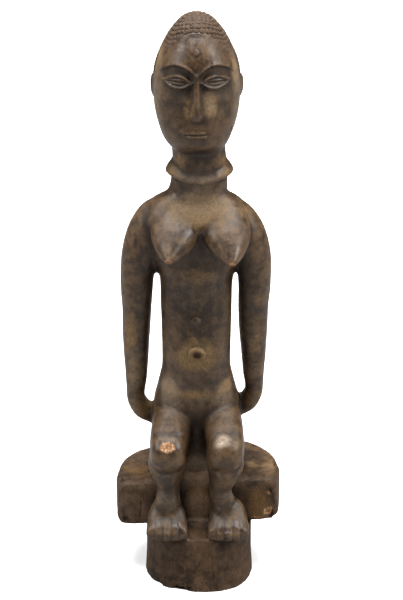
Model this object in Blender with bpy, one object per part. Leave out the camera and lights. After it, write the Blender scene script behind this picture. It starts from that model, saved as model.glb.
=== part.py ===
"""A seated woman on a drum stool and a round base, carved from one log.

Metres, +Z up, the face looks along -Y. The origin is the centre of the flat underside.
The base and the stool have their own sizes. The figure's proportions are drawn in millimetres on a
figure 376 mm from seat to crown, and every drawn number is multiplied by the length of one drawn
millimetre.
"""

import math

import bmesh
import bpy
from mathutils import Vector

# Base: a plain round block.
BASE_RADIUS = 0.043
BASE_HEIGHT = 0.044
BASE_TAPER = 0.001  # how much narrower the top is, on the radius

# Stool: a round drum, set back on the base, with a flat face cut at the front.
STOOL_RADIUS = 0.066
STOOL_THICKNESS = 0.0365
STOOL_SETBACK = 0.010  # from the base's centre to the stool's
STOOL_ASIDE = -0.0008  # from the base's middle to the stool's
STOOL_FLAT = 0.021  # from the stool's centre forward to its flat face
STOOL_LET_IN = 0.0005  # how far the stool reaches down into the base
STOOL_SLOPE = 0.026  # the drum rises to +X by this share of its width
STOOL_CORNER = 16  # how sharply the round side meets the flat face: higher is sharper
EDGE_ROUNDING = 0.004

# Wood left standing behind the heels, between the base's top and the stool's flat face.
HEEL_BANK_SHARE = 0.86  # of the base's radius, to each side
HEEL_BANK_AHEAD = 0.017
HEEL_BANK_RISE = 0.010
HEEL_BANK_SQUARENESS = 2.6

# A chip broken from the rim of the underside.
CHIP_BEARING = 241  # degrees round from +X
CHIP_HEIGHT = 0.0045
CHIP_DEPTH = 0.0028
CHIP_LENGTH = 0.026
CHIP_INWARD = 2  # how much further in than out the wedge reaches
CHIP_UPWARD = 1.3  # how much further up than down

# Figure.
SITTING_HEIGHT = 0.376  # from the stool's seat to the crown
DRAWN_SITTING_HEIGHT = 376
FIGURE_AHEAD = 0.010  # the figure's upright axis stands this far ahead of the stool's centre

# Mesh.
RING_POINTS = 40
TURNED_POINTS = 96  # round the base and the stool
ROUGH_VOXEL = 0.0018
ROUGH_PASSES = 5
FINE_VOXEL = 0.0012
FINE_PASSES = 2
FIGURE_TRIANGLES = 8600

seat_z = BASE_HEIGHT + STOOL_THICKNESS
flat_y = STOOL_SETBACK - STOOL_FLAT
axis_y = STOOL_SETBACK - FIGURE_AHEAD
unit = SITTING_HEIGHT / DRAWN_SITTING_HEIGHT  # metres for each drawn millimetre

# Drawn heights above the seat.
KNEE = 37
NAVEL = 113
NIPPLE = 198
COLLAR = 257
CHIN = 281
CROWN = DRAWN_SITTING_HEIGHT
EYE = (CHIN + CROWN) / 2 + 3
NOSE_FOOT = CHIN + 24
MOUTH = CHIN + 11
NECK_TURNS = (226, 250)  # where the middle moves over from the chest's to the neck's

# Drawn distances to the side.
BODY_LEAN = -2.0  # from the base's middle to the hips' and the chest's
NECK_LEAN = 0.5
HEAD_LEAN = -1.1
LEG_APART = 22.2
EYE_APART = 14.0

# Drawn sizes of the face's relief.
BROW_ABOVE_EYE = 5.5
BROW_ARCH = 6.5
BROW_SPAN = 27
BROW_PROUD = 0.9
SOCKET_DEPTH = 2.6
EYE_HALF_WIDTH = 10.5
EYE_HALF_HEIGHT = 4.6
EYE_PROUD = 2.2
EYE_SLIT = 1.4
FACE_HALF_WIDTH = 31

# The toes reach past the base's edge by this much, in metres; the rest of their sizes are drawn ones.
TOES_PAST_BASE = 0.002
TOE_PITCH = 6.0
TOE_RADIUS = 3.3
GREAT_TOE = 0.5  # how much wider and longer the great toe is

# The two arms are carved a little differently: how far each is moved out and how much lower its hand is.
ARM_OUT = {-1: 1.8, 1: -0.7}
HAND_DROP = {-1: 9, 1: 3}


def clear_scene():
    for thing in list(bpy.data.objects):
        bpy.data.objects.remove(thing)


def smooth_step(low, high, value):
    t = min(max((value - low) / (high - low), 0.0), 1.0)
    return t * t * (3 - 2 * t)


def bell(distance, width):
    return math.exp(-((distance / width) ** 2))


def blended(stations, steps):
    """Catmull-Rom rows through the given rows of numbers."""
    rows = []
    last = len(stations) - 1
    for i in range(last):
        before, here = stations[max(i - 1, 0)], stations[i]
        there, after = stations[i + 1], stations[min(i + 2, last)]
        for step in range(steps):
            t = step / steps
            row = []
            for a, b, c, d in zip(before, here, there, after):
                row.append(
                    b + 0.5 * t * (c - a + t * (2 * a - 5 * b + 4 * c - d + t * (3 * (b - c) + d - a)))
                )
            rows.append(row)
    rows.append(list(stations[last]))
    return rows


def section(centre, side, lift, half_side, half_lift, squareness=2.0):
    """Points round one cross-section, an ellipse that a larger squareness makes boxier."""
    points = []
    for i in range(RING_POINTS):
        turn = 2 * math.pi * i / RING_POINTS
        across = math.copysign(abs(math.cos(turn)) ** (2 / squareness), math.cos(turn))
        along = math.copysign(abs(math.sin(turn)) ** (2 / squareness), math.sin(turn))
        points.append(centre + side * half_side * across + lift * half_lift * along)
    return points


def skin(wood, rings, loop=False):
    """A closed skin over the cross-sections: round a loop, or with an end face on each end."""
    rows = [[wood.verts.new(point) for point in ring] for ring in rings]
    pairs = list(zip(rows, rows[1:] + rows[:1])) if loop else list(zip(rows, rows[1:]))
    faces = []
    for low, high in pairs:
        for i in range(len(low)):
            j = (i + 1) % len(low)
            faces.append(wood.faces.new((low[i], low[j], high[j], high[i])))
    if not loop:
        faces.append(wood.faces.new(rows[0][::-1]))
        faces.append(wood.faces.new(rows[-1]))
    bmesh.ops.recalc_face_normals(wood, faces=faces)


def lean_at(z):
    """How far the figure's middle stands to the side at a drawn height."""
    to_neck = (NECK_LEAN - BODY_LEAN) * smooth_step(*NECK_TURNS, z)
    to_head = (HEAD_LEAN - NECK_LEAN) * smooth_step(COLLAR + 6, CHIN + 6, z)
    return BODY_LEAN + to_neck + to_head


def figure_point(x, y, z):
    """A drawn point of the figure, in metres."""
    return Vector(((lean_at(z) + x) * unit, axis_y + y * unit, seat_z + z * unit))


def upright(wood, stations, squareness=2.2, steps=5):
    """A form built of level sections, from drawn rows of height, half width, front and back."""
    rings = []
    for z, half_width, front, back in blended(stations, steps):
        centre = figure_point(0, (front + back) / 2, z)
        half_depth = (back - front) / 2 * unit
        rings.append(
            section(centre, Vector((1, 0, 0)), Vector((0, 1, 0)), half_width * unit, half_depth, squareness)
        )
    skin(wood, rings)


def limb(wood, stations, squareness=2.0, steps=5):
    """A form along a path, from rows of a point in metres, half width to the side and half depth."""
    rows = blended([(*point, wide, deep) for point, wide, deep in stations], steps)
    centres = [Vector(row[:3]) for row in rows]
    rings = []
    for i, row in enumerate(rows):
        ahead = centres[min(i + 1, len(rows) - 1)] - centres[max(i - 1, 0)]
        side = Vector((1, 0, 0)) - ahead * (ahead.x / ahead.length_squared)
        side.normalize()
        lift = ahead.cross(side).normalized()
        rings.append(section(centres[i], side, lift, row[3], row[4], squareness))
    skin(wood, rings)


def ball(wood, centre, half_x, half_y, half_z, squareness=2.0):
    rings = []
    for i in range(1, 12):
        turn = math.pi * i / 12
        level = centre + Vector((0, 0, -half_z * math.cos(turn)))
        wide = math.sin(turn)
        rings.append(
            section(level, Vector((1, 0, 0)), Vector((0, 1, 0)), half_x * wide, half_y * wide, squareness)
        )
    skin(wood, rings)


def hoop(wood, centre, across, along, half_across, half_along, half_out, half_up):
    """A ring round an ellipse in the plane of the two given directions."""
    up = across.cross(along).normalized()
    rings = []
    for i in range(RING_POINTS):
        turn = 2 * math.pi * i / RING_POINTS
        out = across * math.cos(turn) + along * math.sin(turn)
        middle = centre + across * half_across * math.cos(turn) + along * half_along * math.sin(turn)
        rings.append(section(middle, out, up, half_out, half_up))
    skin(wood, rings, loop=True)


def base_block():
    """The round block, a little wider at the ground, with its upper edge rubbed down."""
    rounding = EDGE_ROUNDING / 2
    profile = (
        (0, BASE_RADIUS),
        (BASE_HEIGHT - rounding, BASE_RADIUS - BASE_TAPER),
        (BASE_HEIGHT, BASE_RADIUS - BASE_TAPER - rounding),
    )
    block = bmesh.new()
    rings = []
    for z, radius in profile:
        turns = [2 * math.pi * i / TURNED_POINTS for i in range(TURNED_POINTS)]
        rings.append([Vector((radius * math.cos(turn), radius * math.sin(turn), z)) for turn in turns])
    skin(block, rings)
    return block


def stool_outline(z, shrink):
    """The drum's plan: a circle that meets the flat front at two softened corners."""
    radius, flat = STOOL_RADIUS - shrink, STOOL_FLAT - shrink
    points = []
    for i in range(TURNED_POINTS):
        turn = 2 * math.pi * i / TURNED_POINTS
        reach = radius
        if math.sin(turn) < 0:
            to_flat = flat / -math.sin(turn)
            reach = (radius**-STOOL_CORNER + to_flat**-STOOL_CORNER) ** (-1 / STOOL_CORNER)
        x = STOOL_ASIDE + reach * math.cos(turn)
        points.append(Vector((x, STOOL_SETBACK + reach * math.sin(turn), z + x * STOOL_SLOPE)))
    return points


def stool_block():
    low_z = BASE_HEIGHT - STOOL_LET_IN
    half = EDGE_ROUNDING * (1 - math.sqrt(0.5))
    block = bmesh.new()
    skin(
        block,
        [
            stool_outline(low_z, EDGE_ROUNDING),
            stool_outline(low_z + half, half),
            stool_outline(low_z + EDGE_ROUNDING, 0),
            stool_outline(seat_z - EDGE_ROUNDING, 0),
            stool_outline(seat_z - half, half),
            stool_outline(seat_z, EDGE_ROUNDING),
        ],
    )
    return block


def chip_block():
    """A wedge across the lower rim, steep at the side and thin underneath."""
    turn = math.radians(CHIP_BEARING)
    out = Vector((math.cos(turn), math.sin(turn), 0))
    along = Vector((0, 0, 1)).cross(out)
    rim = out * BASE_RADIUS
    ends = []
    for end in (-0.5, 0.5):
        middle = rim + along * end * CHIP_LENGTH
        ends.append(
            [
                middle - out * CHIP_DEPTH * CHIP_INWARD - Vector((0, 0, CHIP_HEIGHT)),
                middle + out * CHIP_DEPTH - Vector((0, 0, CHIP_HEIGHT)),
                middle + out * CHIP_DEPTH + Vector((0, 0, CHIP_HEIGHT * CHIP_UPWARD)),
            ]
        )
    block = bmesh.new()
    skin(block, ends)
    return block


def heel_bank(wood):
    ball(
        wood,
        Vector((0, flat_y, BASE_HEIGHT)),
        BASE_RADIUS * HEEL_BANK_SHARE,
        HEEL_BANK_AHEAD,
        HEEL_BANK_RISE,
        HEEL_BANK_SQUARENESS,
    )


def trunk(wood):
    upright(
        wood,
        (
            (-3, 30, -2, 45),
            (12, 34, -8, 50),
            (32, 35.5, -13, 50),
            (52, 34.6, -17, 46),
            (66, 33, -19, 40),
            (77, 30.4, -20, 34),
            (87, 28.6, -20.5, 29),
            (97, 26.6, -21.5, 26),
            (NAVEL, 26.6, -22.5, 24.5),
            (135, 26.9, -20.5, 25),
            (152, 27.3, -19.5, 27),
            (166, 28.2, -20, 29),
            (176, 30, -21, 30.5),
            (188, 35, -22, 31.5),
            (203, 39, -22, 31),
            (216, 38.5, -20, 28.5),
            (226, 35, -18, 25),
            (233, 30.5, -17, 22),
            (240, 24, -16, 20),
        ),
    )
    for side in (-1, 1):
        ball(wood, figure_point(17 * side, 27, 23), 18.5 * unit, 25 * unit, 26 * unit)


def neck(wood):
    upright(
        wood,
        (
            (228, 30, -16, 22),
            (235, 25.5, -17.5, 21),
            (242, 22.4, -18.5, 20),
            (COLLAR, 21.2, -19, 20),
            (270, 20.4, -19, 21),
            (284, 20, -17, 22),
            (292, 17, -12, 20),
        ),
        2.0,
    )


def collar(wood):
    """A ring round the neck, thick at the sides and dipping to a point in front."""
    rings = []
    for i in range(RING_POINTS):
        turn = 2 * math.pi * i / RING_POINTS
        front = max(0.0, -math.sin(turn))
        out = Vector((math.cos(turn), math.sin(turn), 0))
        middle = figure_point(
            21 * math.cos(turn), 0.5 + 19.6 * math.sin(turn), COLLAR + 1 - 4.5 * front**1.5
        )
        rings.append(section(middle, out, Vector((0, 0, 1)), 4.8 * unit, (5.6 - front) * unit))
    skin(wood, rings, loop=True)


def head(wood):
    upright(
        wood,
        (
            (271, 15, -13, 18),
            (276, 19.5, -23, 22),
            (CHIN, 22.6, -29.5, 26),
            (288, 25.6, -32.5, 30),
            (298, 28.8, -33.5, 34),
            (310, 31.2, -33, 37),
            (322, 32, -33, 39),
            (333, 31.2, -33.5, 39.5),
            (344, 28.4, -33.5, 38.5),
            (354, 24, -30.5, 35.5),
            (362, 19, -25.5, 31),
            (369, 13, -18.5, 25),
            (373, 8, -11, 18),
            (CROWN - 0.5, 2, -2, 8),
        ),
        2.15,
    )


def hair(wood):
    """A close cap that stands out of the skull behind the hairline and the ears."""
    upright(
        wood,
        (
            (292, 20, 10, 34),
            (304, 28.6, 7, 39),
            (316, 32.8, 2, 41.8),
            (328, 33.3, -8, 43),
            (339, 31.5, -19, 42.3),
            (348, 28.5, -28.5, 40.2),
            (356, 24.4, -30.9, 36.8),
            (363, 19.9, -26.5, 32.3),
            (369.5, 14.2, -19.8, 26.6),
            (373.5, 8.8, -12, 19),
            (CROWN, 2.4, -2, 8),
        ),
        2.15,
    )


def ears(wood):
    for side in (-1, 1):
        middle = figure_point(30.9 * side, 3, NOSE_FOOT + 17)
        ball(wood, middle, 3.2 * unit, 6 * unit, 9.5 * unit)
        hoop(
            wood,
            middle + Vector((1.6 * side * unit, 0, 0)),
            Vector((0, 1, 0)),
            Vector((0, 0, 1)),
            4.6 * unit,
            8.2 * unit,
            1.7 * unit,
            1.9 * unit,
        )


def nose(wood):
    """A long straight ridge that widens a little towards its foot."""
    limb(
        wood,
        [
            (figure_point(0, -31, EYE + 10), 2 * unit, 2 * unit),
            (figure_point(0, -32.5, EYE + 2), 2 * unit, 3 * unit),
            (figure_point(0, -33.6, NOSE_FOOT + 14), 2.6 * unit, 4 * unit),
            (figure_point(0, -34.6, NOSE_FOOT + 5), 3.7 * unit, 4.6 * unit),
            (figure_point(0, -34.6, NOSE_FOOT + 1.5), 4.4 * unit, 4.2 * unit),
            (figure_point(0, -33, NOSE_FOOT), 3.6 * unit, 2.4 * unit),
        ],
    )


def mouth(wood):
    for z, half_high in ((MOUTH + 1.7, 1.5), (MOUTH - 1.9, 1.7)):
        ball(wood, figure_point(0, -32.2, z), 9 * unit, 2.6 * unit, half_high * unit)


def breasts(wood):
    for side in (-1, 1):
        limb(
            wood,
            [
                (figure_point(17 * side, -9, 226), 13 * unit, 8 * unit),
                (figure_point(19 * side, -15, 216), 17 * unit, 12 * unit),
                (figure_point(21 * side, -23, 208), 16 * unit, 13.5 * unit),
                (figure_point(22.8 * side, -32, 202), 11.5 * unit, 10.5 * unit),
                (figure_point(24 * side, -39.5, 198.5), 6.8 * unit, 6.6 * unit),
                (figure_point(24.6 * side, -44, 196.5), 3.4 * unit, 3.4 * unit),
                (figure_point(24.9 * side, -46.5, NIPPLE - 2.6), 1.6 * unit, 1.6 * unit),
            ],
        )


def navel(wood):
    belly = figure_point(0.5, -22, NAVEL)
    ball(wood, belly, 3 * unit, 4 * unit, 3 * unit)
    hoop(
        wood, belly, Vector((1, 0, 0)), Vector((0, 0, 1)), 6 * unit, 6.6 * unit, 2.1 * unit, 2.4 * unit
    )


def scars(wood):
    """Two raised scars above the navel."""
    for rise in (17, 29):
        ball(wood, figure_point(0, -20.2, NAVEL + rise), 3.4 * unit, 2.2 * unit, 3.4 * unit)


def arm(wood, side):
    """A round arm from the shoulder to a hand laid behind the hip."""
    stations = (
        (24, 3, 225, 9, 12),
        (32.5, 4, 217.5, 12.4, 15),
        (39.4, 4.5, 206, 13.8, 16.5),
        (43.4, 5, 191, 14, 16),
        (45.2, 6, 176, 13.3, 15),
        (45.7, 7.5, 160, 12.5, 14),
        (45.4, 9.5, 145, 11.5, 13),
        (45.8, 11, 125, 10.8, 12),
        (45.8, 12, 106, 9.7, 10.8),
        (45.6, 12, 90, 8.9, 9.5),
        (45.8, 13, 79, 8.1, 8.4),
        (44.6, 15, 70, 7.8, 8.4),
        (40, 19, 60.5, 8, 8.4),
        (33.5, 25, 53, 8, 7),
        (27, 31.5, 47, 7, 5.4),
        (21.5, 36.5, 42.5, 4, 4),
    )
    points = []
    for x, y, z, wide, deep in stations:
        low_share = 1 - smooth_step(90, 225, z)
        out = x + ARM_OUT[side] * low_share
        middle = figure_point(out * side, y, z - HAND_DROP[side] * low_share)
        points.append((middle, wide * unit, deep * unit))
    limb(wood, points, 2.1)


def leg(wood, side):
    """Thigh on the stool, knee ahead of its flat face, and a shin down that face to the base."""
    thigh = (
        (15, 14, 36, 18.5, 24),
        (17.8, -4, 41, 17.2, 21.5),
        (20.6, -20, 40.5, 15.6, 18),
        (LEG_APART, -31, KNEE - 1, 14.4, 15),
        (LEG_APART, -39.5, KNEE - 2, 12, 12),
        (LEG_APART, -44.5, KNEE - 3, 7, 7),
        (LEG_APART, -46, KNEE - 3, 2.5, 2.5),
    )
    limb(
        wood,
        [(figure_point(x * side, y, z), wide * unit, deep * unit) for x, y, z, wide, deep in thigh],
        2.2,
    )
    ball(wood, figure_point(LEG_APART * side, -43.5, KNEE + 8), 7 * unit, 5 * unit, 7.5 * unit)

    knee_z = seat_z + KNEE * unit
    shin_top = knee_z - BASE_HEIGHT
    shin = (
        (0.0, LEG_APART, 20, 13.8, 14),
        (0.1, LEG_APART, 17.5, 14.2, 15),
        (0.19, LEG_APART + 1.2, 14.5, 14.6, 15.5),
        (0.33, LEG_APART + 0.8, 12, 12, 14),
        (0.46, LEG_APART, 10.5, 9.4, 12),
        (0.57, LEG_APART, 9.5, 9, 11.5),
        (0.7, LEG_APART + 0.4, 9, 10.5, 12),
        (0.92, LEG_APART + 0.8, 9, 12, 12),
    )
    limb(
        wood,
        [
            (
                Vector(((BODY_LEAN + x * side) * unit, flat_y - ahead * unit, knee_z - down * shin_top)),
                wide * unit,
                deep * unit,
            )
            for down, x, ahead, wide, deep in shin
        ],
    )


def foot(wood, side):
    toe_y = -BASE_RADIUS - TOES_PAST_BASE
    length = flat_y - toe_y
    profile = (
        (-0.12, 9.5, 14),
        (0.1, 11.5, 24),
        (0.32, 13, 27),
        (0.52, 14.5, 21.5),
        (0.72, 15.4, 15),
        (0.9, 15.2, 11),
    )
    middle_x = (BODY_LEAN / 2 + (LEG_APART + 1) * side) * unit
    rings = []
    for share, wide, high in blended(profile, 4):
        middle = Vector((middle_x, flat_y - share * length, BASE_HEIGHT + (high / 2 - 1) * unit))
        half_high = (high / 2 + 1) * unit
        rings.append(section(middle, Vector((1, 0, 0)), Vector((0, 0, 1)), wide * unit, half_high, 2.6))
    skin(wood, rings)

    toe_pitch = TOE_PITCH * unit
    for i in range(5):
        place = i - 2
        great = GREAT_TOE if i == (0 if side > 0 else 4) else 0.0
        radius = (TOE_RADIUS + great) * unit
        x = middle_x + place * toe_pitch
        tip = toe_y + abs(place) ** 2 * 0.7 * unit - great * unit
        limb(
            wood,
            [
                (Vector((x, toe_y + 0.5 * length, BASE_HEIGHT + 7 * unit)), radius, 4.5 * unit),
                (Vector((x, toe_y + 0.22 * length, BASE_HEIGHT + 4.6 * unit)), radius, 5 * unit),
                (Vector((x, tip + 1.6 * unit, BASE_HEIGHT + 3.8 * unit)), radius, 4.4 * unit),
                (Vector((x, tip, BASE_HEIGHT + 3.4 * unit)), radius * 0.6, 2.4 * unit),
            ],
        )


def face_relief(across, height):
    """How far the face stands out, in drawn millimetres, at a place on its front."""
    across = abs(across)
    arch = math.sin(math.pi * min(max((across - 1) / BROW_SPAN, 0.0), 1.0))
    brow = EYE + BROW_ABOVE_EYE + BROW_ARCH * arch - 1.5 * bell(across, 3)
    below_brow = smooth_step(-0.8, 1.2, brow - height)
    inside = 1 - smooth_step(24, 29, across)
    above_cheek = smooth_step(EYE - 15, EYE - 4, height)
    beside_nose = smooth_step(1.5, 5, across)
    relief = -SOCKET_DEPTH * below_brow * inside * above_cheek * beside_nose
    relief += BROW_PROUD * bell(brow + 1.2 - height, 1.8) * inside
    eye = math.hypot((across - EYE_APART) / EYE_HALF_WIDTH, (height - EYE) / EYE_HALF_HEIGHT)
    relief += EYE_PROUD * (1 - smooth_step(0.75, 1.15, eye))
    relief -= EYE_SLIT * bell(height - EYE, 0.9) * (1 - smooth_step(0.6, 0.85, eye))
    return relief


def carve_face(mesh):
    """Moves the points of the face's front in and out by the relief."""
    for vertex in mesh.vertices:
        x = vertex.co.x / unit - HEAD_LEAN
        y = (vertex.co.y - axis_y) / unit
        z = (vertex.co.z - seat_z) / unit
        if z > EYE - 30 and y < -8 and abs(x) < FACE_HALF_WIDTH:
            facing = smooth_step(0.15, 0.6, -vertex.normal.y)
            vertex.co.y -= face_relief(x, z) * facing * unit


def fused(source, voxel, passes, name):
    """The outer skin of overlapping forms as one mesh, with soft inner corners."""
    source_mesh = bpy.data.meshes.new(name)
    source.to_mesh(source_mesh)
    source.free()
    rough = bpy.data.objects.new(name, source_mesh)
    bpy.context.scene.collection.objects.link(rough)
    remesh = rough.modifiers.new("fuse", "REMESH")
    remesh.mode = "VOXEL"
    remesh.voxel_size = voxel
    smooth = rough.modifiers.new("soften", "SMOOTH")
    smooth.factor = 0.5
    smooth.iterations = passes
    graph = bpy.context.evaluated_depsgraph_get()
    mesh = bpy.data.meshes.new_from_object(rough.evaluated_get(graph))
    bpy.data.objects.remove(rough)
    return mesh


def broad_forms():
    wood = bmesh.new()
    heel_bank(wood)
    trunk(wood)
    neck(wood)
    collar(wood)
    head(wood)
    breasts(wood)
    for side in (-1, 1):
        arm(wood, side)
        leg(wood, side)
        foot(wood, side)
    return fused(wood, ROUGH_VOXEL, ROUGH_PASSES, "broad_forms")


def small_forms(broad):
    """The broad forms with the carved details let into them."""
    wood = bmesh.new()
    wood.from_mesh(broad)
    hair(wood)
    ears(wood)
    nose(wood)
    mouth(wood)
    navel(wood)
    scars(wood)
    return fused(wood, FINE_VOXEL, FINE_PASSES, "small_forms")


def wood_material():
    material = bpy.data.materials.new("carved_wood")
    material.use_nodes = True
    shader = material.node_tree.nodes["Principled BSDF"]
    shader.inputs["Base Color"].default_value = (0.085, 0.058, 0.037, 1)
    shader.inputs["Roughness"].default_value = 0.48
    shader.inputs["Metallic"].default_value = 0.0
    return material


def hidden_object(name, block):
    mesh = bpy.data.meshes.new(name)
    block.to_mesh(mesh)
    block.free()
    thing = bpy.data.objects.new(name, mesh)
    thing.hide_render = True
    thing.display_type = "WIRE"
    bpy.context.scene.collection.objects.link(thing)
    return thing


def combine(carving, operation, name, block):
    change = carving.modifiers.new(name, "BOOLEAN")
    change.operation = operation
    change.object = hidden_object(name, block)


def statuette():
    mesh = small_forms(broad_forms())
    carve_face(mesh)
    carving = bpy.data.objects.new("statuette", mesh)
    bpy.context.scene.collection.objects.link(carving)
    mesh.calc_loop_triangles()
    facets = carving.modifiers.new("facets", "DECIMATE")
    facets.ratio = min(1.0, FIGURE_TRIANGLES / len(mesh.loop_triangles))
    facets.use_collapse_triangulate = True
    combine(carving, "UNION", "stool", stool_block())
    combine(carving, "UNION", "base", base_block())
    combine(carving, "DIFFERENCE", "chip", chip_block())
    mesh.materials.clear()
    mesh.materials.append(wood_material())
    mesh.shade_smooth()
    return carving


clear_scene()
statuette()
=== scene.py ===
# A seated figure on a drum stool and a round base, carved from one log: the looks of its wood.
# The carving is drawn in millimetres, z = 0 on the ground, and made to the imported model's height last.
import math

import bmesh
import bpy
import numpy as np
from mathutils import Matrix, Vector, noise


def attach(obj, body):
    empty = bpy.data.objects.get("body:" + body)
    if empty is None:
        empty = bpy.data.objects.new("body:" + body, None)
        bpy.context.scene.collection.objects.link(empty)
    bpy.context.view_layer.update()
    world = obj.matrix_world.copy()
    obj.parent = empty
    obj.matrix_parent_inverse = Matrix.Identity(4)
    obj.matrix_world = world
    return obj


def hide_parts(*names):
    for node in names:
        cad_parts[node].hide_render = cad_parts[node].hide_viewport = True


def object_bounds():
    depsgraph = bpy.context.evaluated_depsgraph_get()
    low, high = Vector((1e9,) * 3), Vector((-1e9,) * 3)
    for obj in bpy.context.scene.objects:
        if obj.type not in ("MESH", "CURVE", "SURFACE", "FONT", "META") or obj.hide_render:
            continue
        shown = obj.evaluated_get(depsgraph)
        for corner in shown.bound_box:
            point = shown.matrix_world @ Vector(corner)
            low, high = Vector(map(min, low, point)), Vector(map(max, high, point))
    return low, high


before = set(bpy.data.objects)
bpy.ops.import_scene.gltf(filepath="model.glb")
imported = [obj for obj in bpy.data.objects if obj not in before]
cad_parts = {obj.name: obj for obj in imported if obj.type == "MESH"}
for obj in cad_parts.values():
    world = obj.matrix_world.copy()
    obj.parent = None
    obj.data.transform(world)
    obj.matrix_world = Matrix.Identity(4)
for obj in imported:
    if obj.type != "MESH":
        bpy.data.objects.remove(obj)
cadLow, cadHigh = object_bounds()
print("frame loaded, height in metres:", round(cadHigh.z - cadLow.z, 4))

# Things that shape the whole carving
log = {
    "drawnHeight": 456.4,
    "baseHeight": 44,
    "seat": 80.5,          # top of the stool
    "flatFront": -11,      # where the stool's flat face stands, front to back
    "turned": 144,         # points round the base and the stool
    "ringPoints": 64,
    "stepsBetween": 7,
    "ballLevels": 16,
    "broadVoxel": 1.6,
    "broadSoftening": 5,
    "fineVoxel": 0.85,
    "fineSoftening": 2,
    "mostTriangles": 192000,
}
figure = {
    "knee": 37,            # heights above the seat
    "navel": 113,
    "collar": 257,
    "chin": 281,
    "mouth": 292,
    "noseFoot": 305,
    "eye": 331.5,
    "bodyLean": -2.0,      # to the side
    "neckLean": 0.5,
    "headLean": -1.5,
    "neckTurn": (231, 250),  # between these heights the middle moves over to the neck's
    "headTurn": 6,         # this far above collar and chin it moves over to the head's
    "legApart": 22.2,
    "eyeApart": 14,
}
# How square the cross sections are: 2 is an oval
boxiness = {
    "trunk": 2.2, "chest": 2.4, "neck": 2.0, "head": 2.15, "arm": 2.1, "thigh": 2.7, "shin": 2.4,
    "foot": 2.6, "heelBank": 2.6,
}
sideways, backward, upward = Vector((1, 0, 0)), Vector((0, 1, 0)), Vector((0, 0, 1))


# Small helpers for shapes

def softStep(low, high, value):
    share = np.clip((value - low) / (high - low), 0, 1)
    return share * share * (3 - 2 * share)


def bell(distance, width):
    return np.exp(-((distance / width) ** 2))


def smoothRows(stations):
    # Catmull-Rom rows through the given rows
    steps = log["stepsBetween"]
    rows, last = [], len(stations) - 1
    for i in range(last):
        a, b = stations[max(i - 1, 0)], stations[i]
        c, d = stations[i + 1], stations[min(i + 2, last)]
        for k in range(steps):
            t = k / steps
            rows.append([
                q + 0.5 * t * (r - p + t * (2 * p - 5 * q + 4 * r - s + t * (3 * (q - r) + s - p)))
                for p, q, r, s in zip(a, b, c, d)
            ])
    rows.append(list(stations[last]))
    return rows


def crossSection(centre, side, lift, halfSide, halfLift, squareness=2.0):
    points = []
    for i in range(log["ringPoints"]):
        turn = math.tau * i / log["ringPoints"]
        across = math.copysign(abs(math.cos(turn)) ** (2 / squareness), math.cos(turn))
        along = math.copysign(abs(math.sin(turn)) ** (2 / squareness), math.sin(turn))
        points.append(centre + side * halfSide * across + lift * halfLift * along)
    return points


def skinOver(wood, rings, loop=False):
    rows = [[wood.verts.new(point) for point in ring] for ring in rings]
    pairs = zip(rows, rows[1:] + rows[:1]) if loop else zip(rows, rows[1:])
    faces = []
    for low, high in pairs:
        for i in range(len(low)):
            j = (i + 1) % len(low)
            faces.append(wood.faces.new((low[i], low[j], high[j], high[i])))
    if not loop:
        faces.append(wood.faces.new(rows[0][::-1]))
        faces.append(wood.faces.new(rows[-1]))
    bmesh.ops.recalc_face_normals(wood, faces=faces)


def leanAt(z):
    # how far the figure's middle stands to the side, z above the seat
    turn = figure["headTurn"]
    toNeck = (figure["neckLean"] - figure["bodyLean"]) * softStep(*figure["neckTurn"], z)
    toHead = figure["headLean"] - figure["neckLean"]
    toHead *= softStep(figure["collar"] + turn, figure["chin"] + turn, z)
    return figure["bodyLean"] + toNeck + toHead


def onFigure(x, y, z):
    return Vector((leanAt(z) + x, y, log["seat"] + z))


def upright(wood, stations, squareness):
    # rows of height, half width, front and back
    rings = []
    for z, halfWidth, front, back in smoothRows(stations):
        centre = onFigure(0, (front + back) / 2, z)
        halfDepth = (back - front) / 2
        rings.append(crossSection(centre, sideways, backward, halfWidth, halfDepth, squareness))
    skinOver(wood, rings)


def limb(wood, stations, squareness=2.0):
    # rows of a point, half width and half depth
    rows = smoothRows([(*point, wide, deep) for point, wide, deep in stations])
    centres = [Vector(row[:3]) for row in rows]
    rings = []
    for i, row in enumerate(rows):
        ahead = centres[min(i + 1, len(rows) - 1)] - centres[max(i - 1, 0)]
        side = sideways - ahead * (ahead.x / ahead.length_squared)
        side.normalize()
        lift = ahead.cross(side).normalized()
        rings.append(crossSection(centres[i], side, lift, row[3], row[4], squareness))
    skinOver(wood, rings)


def ball(wood, centre, halfX, halfY, halfZ, squareness=2.0):
    rings = []
    for i in range(1, log["ballLevels"]):
        turn = math.pi * i / log["ballLevels"]
        level = centre + Vector((0, 0, -halfZ * math.cos(turn)))
        wide = math.sin(turn)
        rings.append(crossSection(level, sideways, backward, halfX * wide, halfY * wide, squareness))
    skinOver(wood, rings)


def hoop(wood, centre, across, along, halfAcross, halfAlong, halfOut, halfUp):
    up = across.cross(along).normalized()
    rings = []
    for i in range(log["ringPoints"]):
        turn = math.tau * i / log["ringPoints"]
        out = across * math.cos(turn) + along * math.sin(turn)
        middle = centre + across * halfAcross * math.cos(turn) + along * halfAlong * math.sin(turn)
        rings.append(crossSection(middle, out, up, halfOut, halfUp))
    skinOver(wood, rings, loop=True)


# Base and stool

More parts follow.
